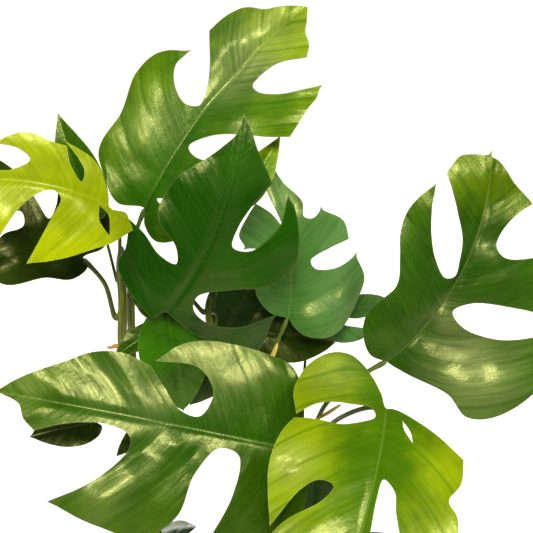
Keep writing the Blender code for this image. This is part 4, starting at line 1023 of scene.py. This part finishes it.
peat = soil_finish()
side_heights = np.array([POT_FLOOR + 0.3, POT_FLOOR + 3.0, 40.0, 75.0, SOIL_TOP - 3.0])
side_radii = INNER_FOOT + (side_heights - POT_FLOOR - 2.0) * WALL_SLOPE - 0.35
side_radii[0] = POT_FOOT - POT_WALL - 1.0
top_radii = side_radii[-1] * np.linspace(1, 0, 46)[1:-1]
soil_profile = [(0, side_heights[0]), *zip(side_radii, side_heights),
                *((r, SOIL_TOP) for r in top_radii), (0, SOIL_TOP)]
verts, faces = turned(soil_profile, 150)
on_top = verts[:, 2] > SOIL_TOP - 2
lift = soil_height(verts[:, 0], verts[:, 1])
for marks in VINES.values():
    away = np.hypot(verts[:, 0] - marks[0][0], verts[:, 1] - marks[0][1])
    lift += MOUND * np.exp(-away ** 2 / MOUND_AREA)
verts[:, 2] += np.where(on_top, lift, 0.0)
soil = put_mesh("potting_mix", verts, faces)
soil.data.materials.append(peat)
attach(soil, "root")
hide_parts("soil")


def scatter(name, count, size, flatness, look, seed):
    """Many small angular grains lying on the mix, each a squashed, turned octahedron."""
    random = np.random.default_rng(seed)
    reach = (side_radii[-1] - 4) * np.sqrt(random.uniform(0, 1, count))
    angle = random.uniform(0, 2 * np.pi, count)
    x, y = reach * np.cos(angle), reach * np.sin(angle)
    z = SOIL_TOP + soil_height(x, y) + 0.3
    corners = np.array([(1, 0, 0), (0, 1, 0), (-1, 0, 0), (0, -1, 0), (0, 0, 1), (0, 0, -1)], float)
    grains = corners[None] * random.uniform(0.55, 1.0, (count, 6, 1))
    grains = grains * random.uniform(*size, (count, 1, 1)) * (1, random.uniform(0.5, 0.9), flatness)
    turn, lean = random.uniform(0, 2 * np.pi, count), random.uniform(-0.5, 0.5, count)
    c, s, cl, sl = np.cos(turn), np.sin(turn), np.cos(lean), np.sin(lean)
    zero, one = np.zeros(count), np.ones(count)
    spin = np.stack([c, -s, zero, s, c, zero, zero, zero, one], axis=1).reshape(-1, 3, 3)
    tilt = np.stack([cl, zero, sl, zero, one, zero, -sl, zero, cl], axis=1).reshape(-1, 3, 3)
    points = grains @ tilt @ spin + np.stack([x, y, z], axis=1)[:, None]
    sides = [(k, (k + 1) % 4, 4) for k in range(4)] + [((k + 1) % 4, k, 5) for k in range(4)]
    faces = (np.array(sides)[None] + np.arange(count)[:, None, None] * 6).reshape(-1, 3)
    grains = put_mesh(name, points.reshape(-1, 3), faces)
    grains.data.materials.append(look)
    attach(grains, "root")


def grain_finish(name, dark, light, rough):
    """Loose grains: two colours in 4 mm patches."""
    made, tree, shader = new_material(name, Roughness=rough)
    place = node(tree, PLACE).outputs["Object"]
    patch = node(tree, NOISE, {"Vector": place, "Scale": 1000 / 4, "Detail": 4.0}).outputs[0]
    share = node(tree, RAMP, {0: patch, 1: 0.35, 2: 0.65}, **SOFT).outputs[0]
    colour = node(tree, MIX, {0: share, 6: linear(dark), 7: linear(light)}, **BLEND)
    tree.links.new(colour.outputs[2], shader.inputs["Base Color"])
    return made


bark = grain_finish("Composted bark", "#2c1b10", "#6a4a2c", 0.85)
perlite = grain_finish("Expanded perlite", "#b9b4a8", "#e8e4da", 0.95)
scatter("bark_chips", 520, (2.0, 5.0), 0.35, bark, 21)
scatter("perlite", 130, (0.9, 2.1), 0.8, perlite, 22)

# ------------------------------------------------------------------ floor, light and camera
# A round white floor 2.3 m across, lit from below behind the plant so that the background
# stays clean; a warm softbox high in front, one at each side, a weak wide one low in front.
FLOOR_RADIUS = 1150.0
FLOOR_TOP = -0.3
angle = np.arange(96) * 2 * np.pi / 96
floor = put_mesh("floor", np.stack([FLOOR_RADIUS * np.cos(angle), FLOOR_RADIUS * np.sin(angle),
                                    np.full(96, FLOOR_TOP)], axis=1), [range(96)])
floor_look, floor_tree, floor_shader = new_material(
    "Backlit white acrylic", Roughness=0.9, Base_Color=linear("#f4f3f0"),
    Emission_Color=linear("#ffffff"))
# Unlit in front; the backlight comes up over 0.3 m, from under the plant to behind it.
spot = node(floor_tree, PLACE).outputs["Object"]
behind = node(floor_tree, PARTS, {0: spot}).outputs["Y"]
glow = node(floor_tree, RAMP, {0: behind, 1: -0.05, 2: 0.25, 3: 0.0, 4: 1.0}, **SOFT)
floor_tree.links.new(glow.outputs[0], floor_shader.inputs["Emission Strength"])
floor.data.materials.append(floor_look)

FOLIAGE_MIDDLE = Vector((0.0, 0.0, 0.42))
# Each softbox: place in m, width in m, power in W.
SOFTBOXES = {
    "Front key": ((0.02, -1.10, 1.62), 0.36, 18.5),
    "Left softbox": ((-0.95, -0.65, 1.45), 0.32, 8.4),
    "Right softbox": ((0.85, -0.62, 1.75), 0.34, 15.0),
    "Low front": ((0.0, -1.15, 0.38), 0.9, 0.8),
}
for name, (spot, width, power) in SOFTBOXES.items():
    light = bpy.data.lights.new(name, "AREA")
    light.shape = "SQUARE"
    light.size = width
    light.energy = power
    light.color = linear("#fff6e2")[:3]
    lamp = bpy.data.objects.new(name, light)
    lamp.location = spot
    lamp.rotation_euler = (FOLIAGE_MIDDLE - lamp.location).to_track_quat("-Z", "Y").to_euler()
    bpy.context.scene.collection.objects.link(lamp)
world = bpy.data.worlds.new("Dim fill")
world.use_nodes = True
# Seen directly it is a bright, even studio wall; as fill light it is dim.
sky = world.node_tree.nodes["Background"].inputs
sky["Color"].default_value = linear("#fffaf0")
seen = node(world.node_tree, "ShaderNodeLightPath").outputs["Is Camera Ray"]
fill = node(world.node_tree, MATH, {0: seen, 1: 1.05, 2: 0.1}, operation="MULTIPLY_ADD")
world.node_tree.links.new(fill.outputs[0], sky["Strength"])
bpy.context.scene.world = world

CAMERA_TARGET = Vector((0.012, 0.0, 0.435))
CAMERA_DISTANCE = 0.750
CAMERA_ELEVATION = np.radians(30.0)
lens = bpy.data.cameras.new("Camera")
lens.lens = 78.03
lens.sensor_width = 36.0
camera = bpy.data.objects.new("Camera", lens)
ahead = Vector((0.0, np.cos(CAMERA_ELEVATION), -np.sin(CAMERA_ELEVATION)))
camera.location = CAMERA_TARGET - CAMERA_DISTANCE * ahead
camera.rotation_euler = ahead.to_track_quat("-Z", "Y").to_euler()
bpy.context.scene.collection.objects.link(camera)
bpy.context.scene.camera = camera
bpy.context.scene.view_settings.view_transform = "Standard"
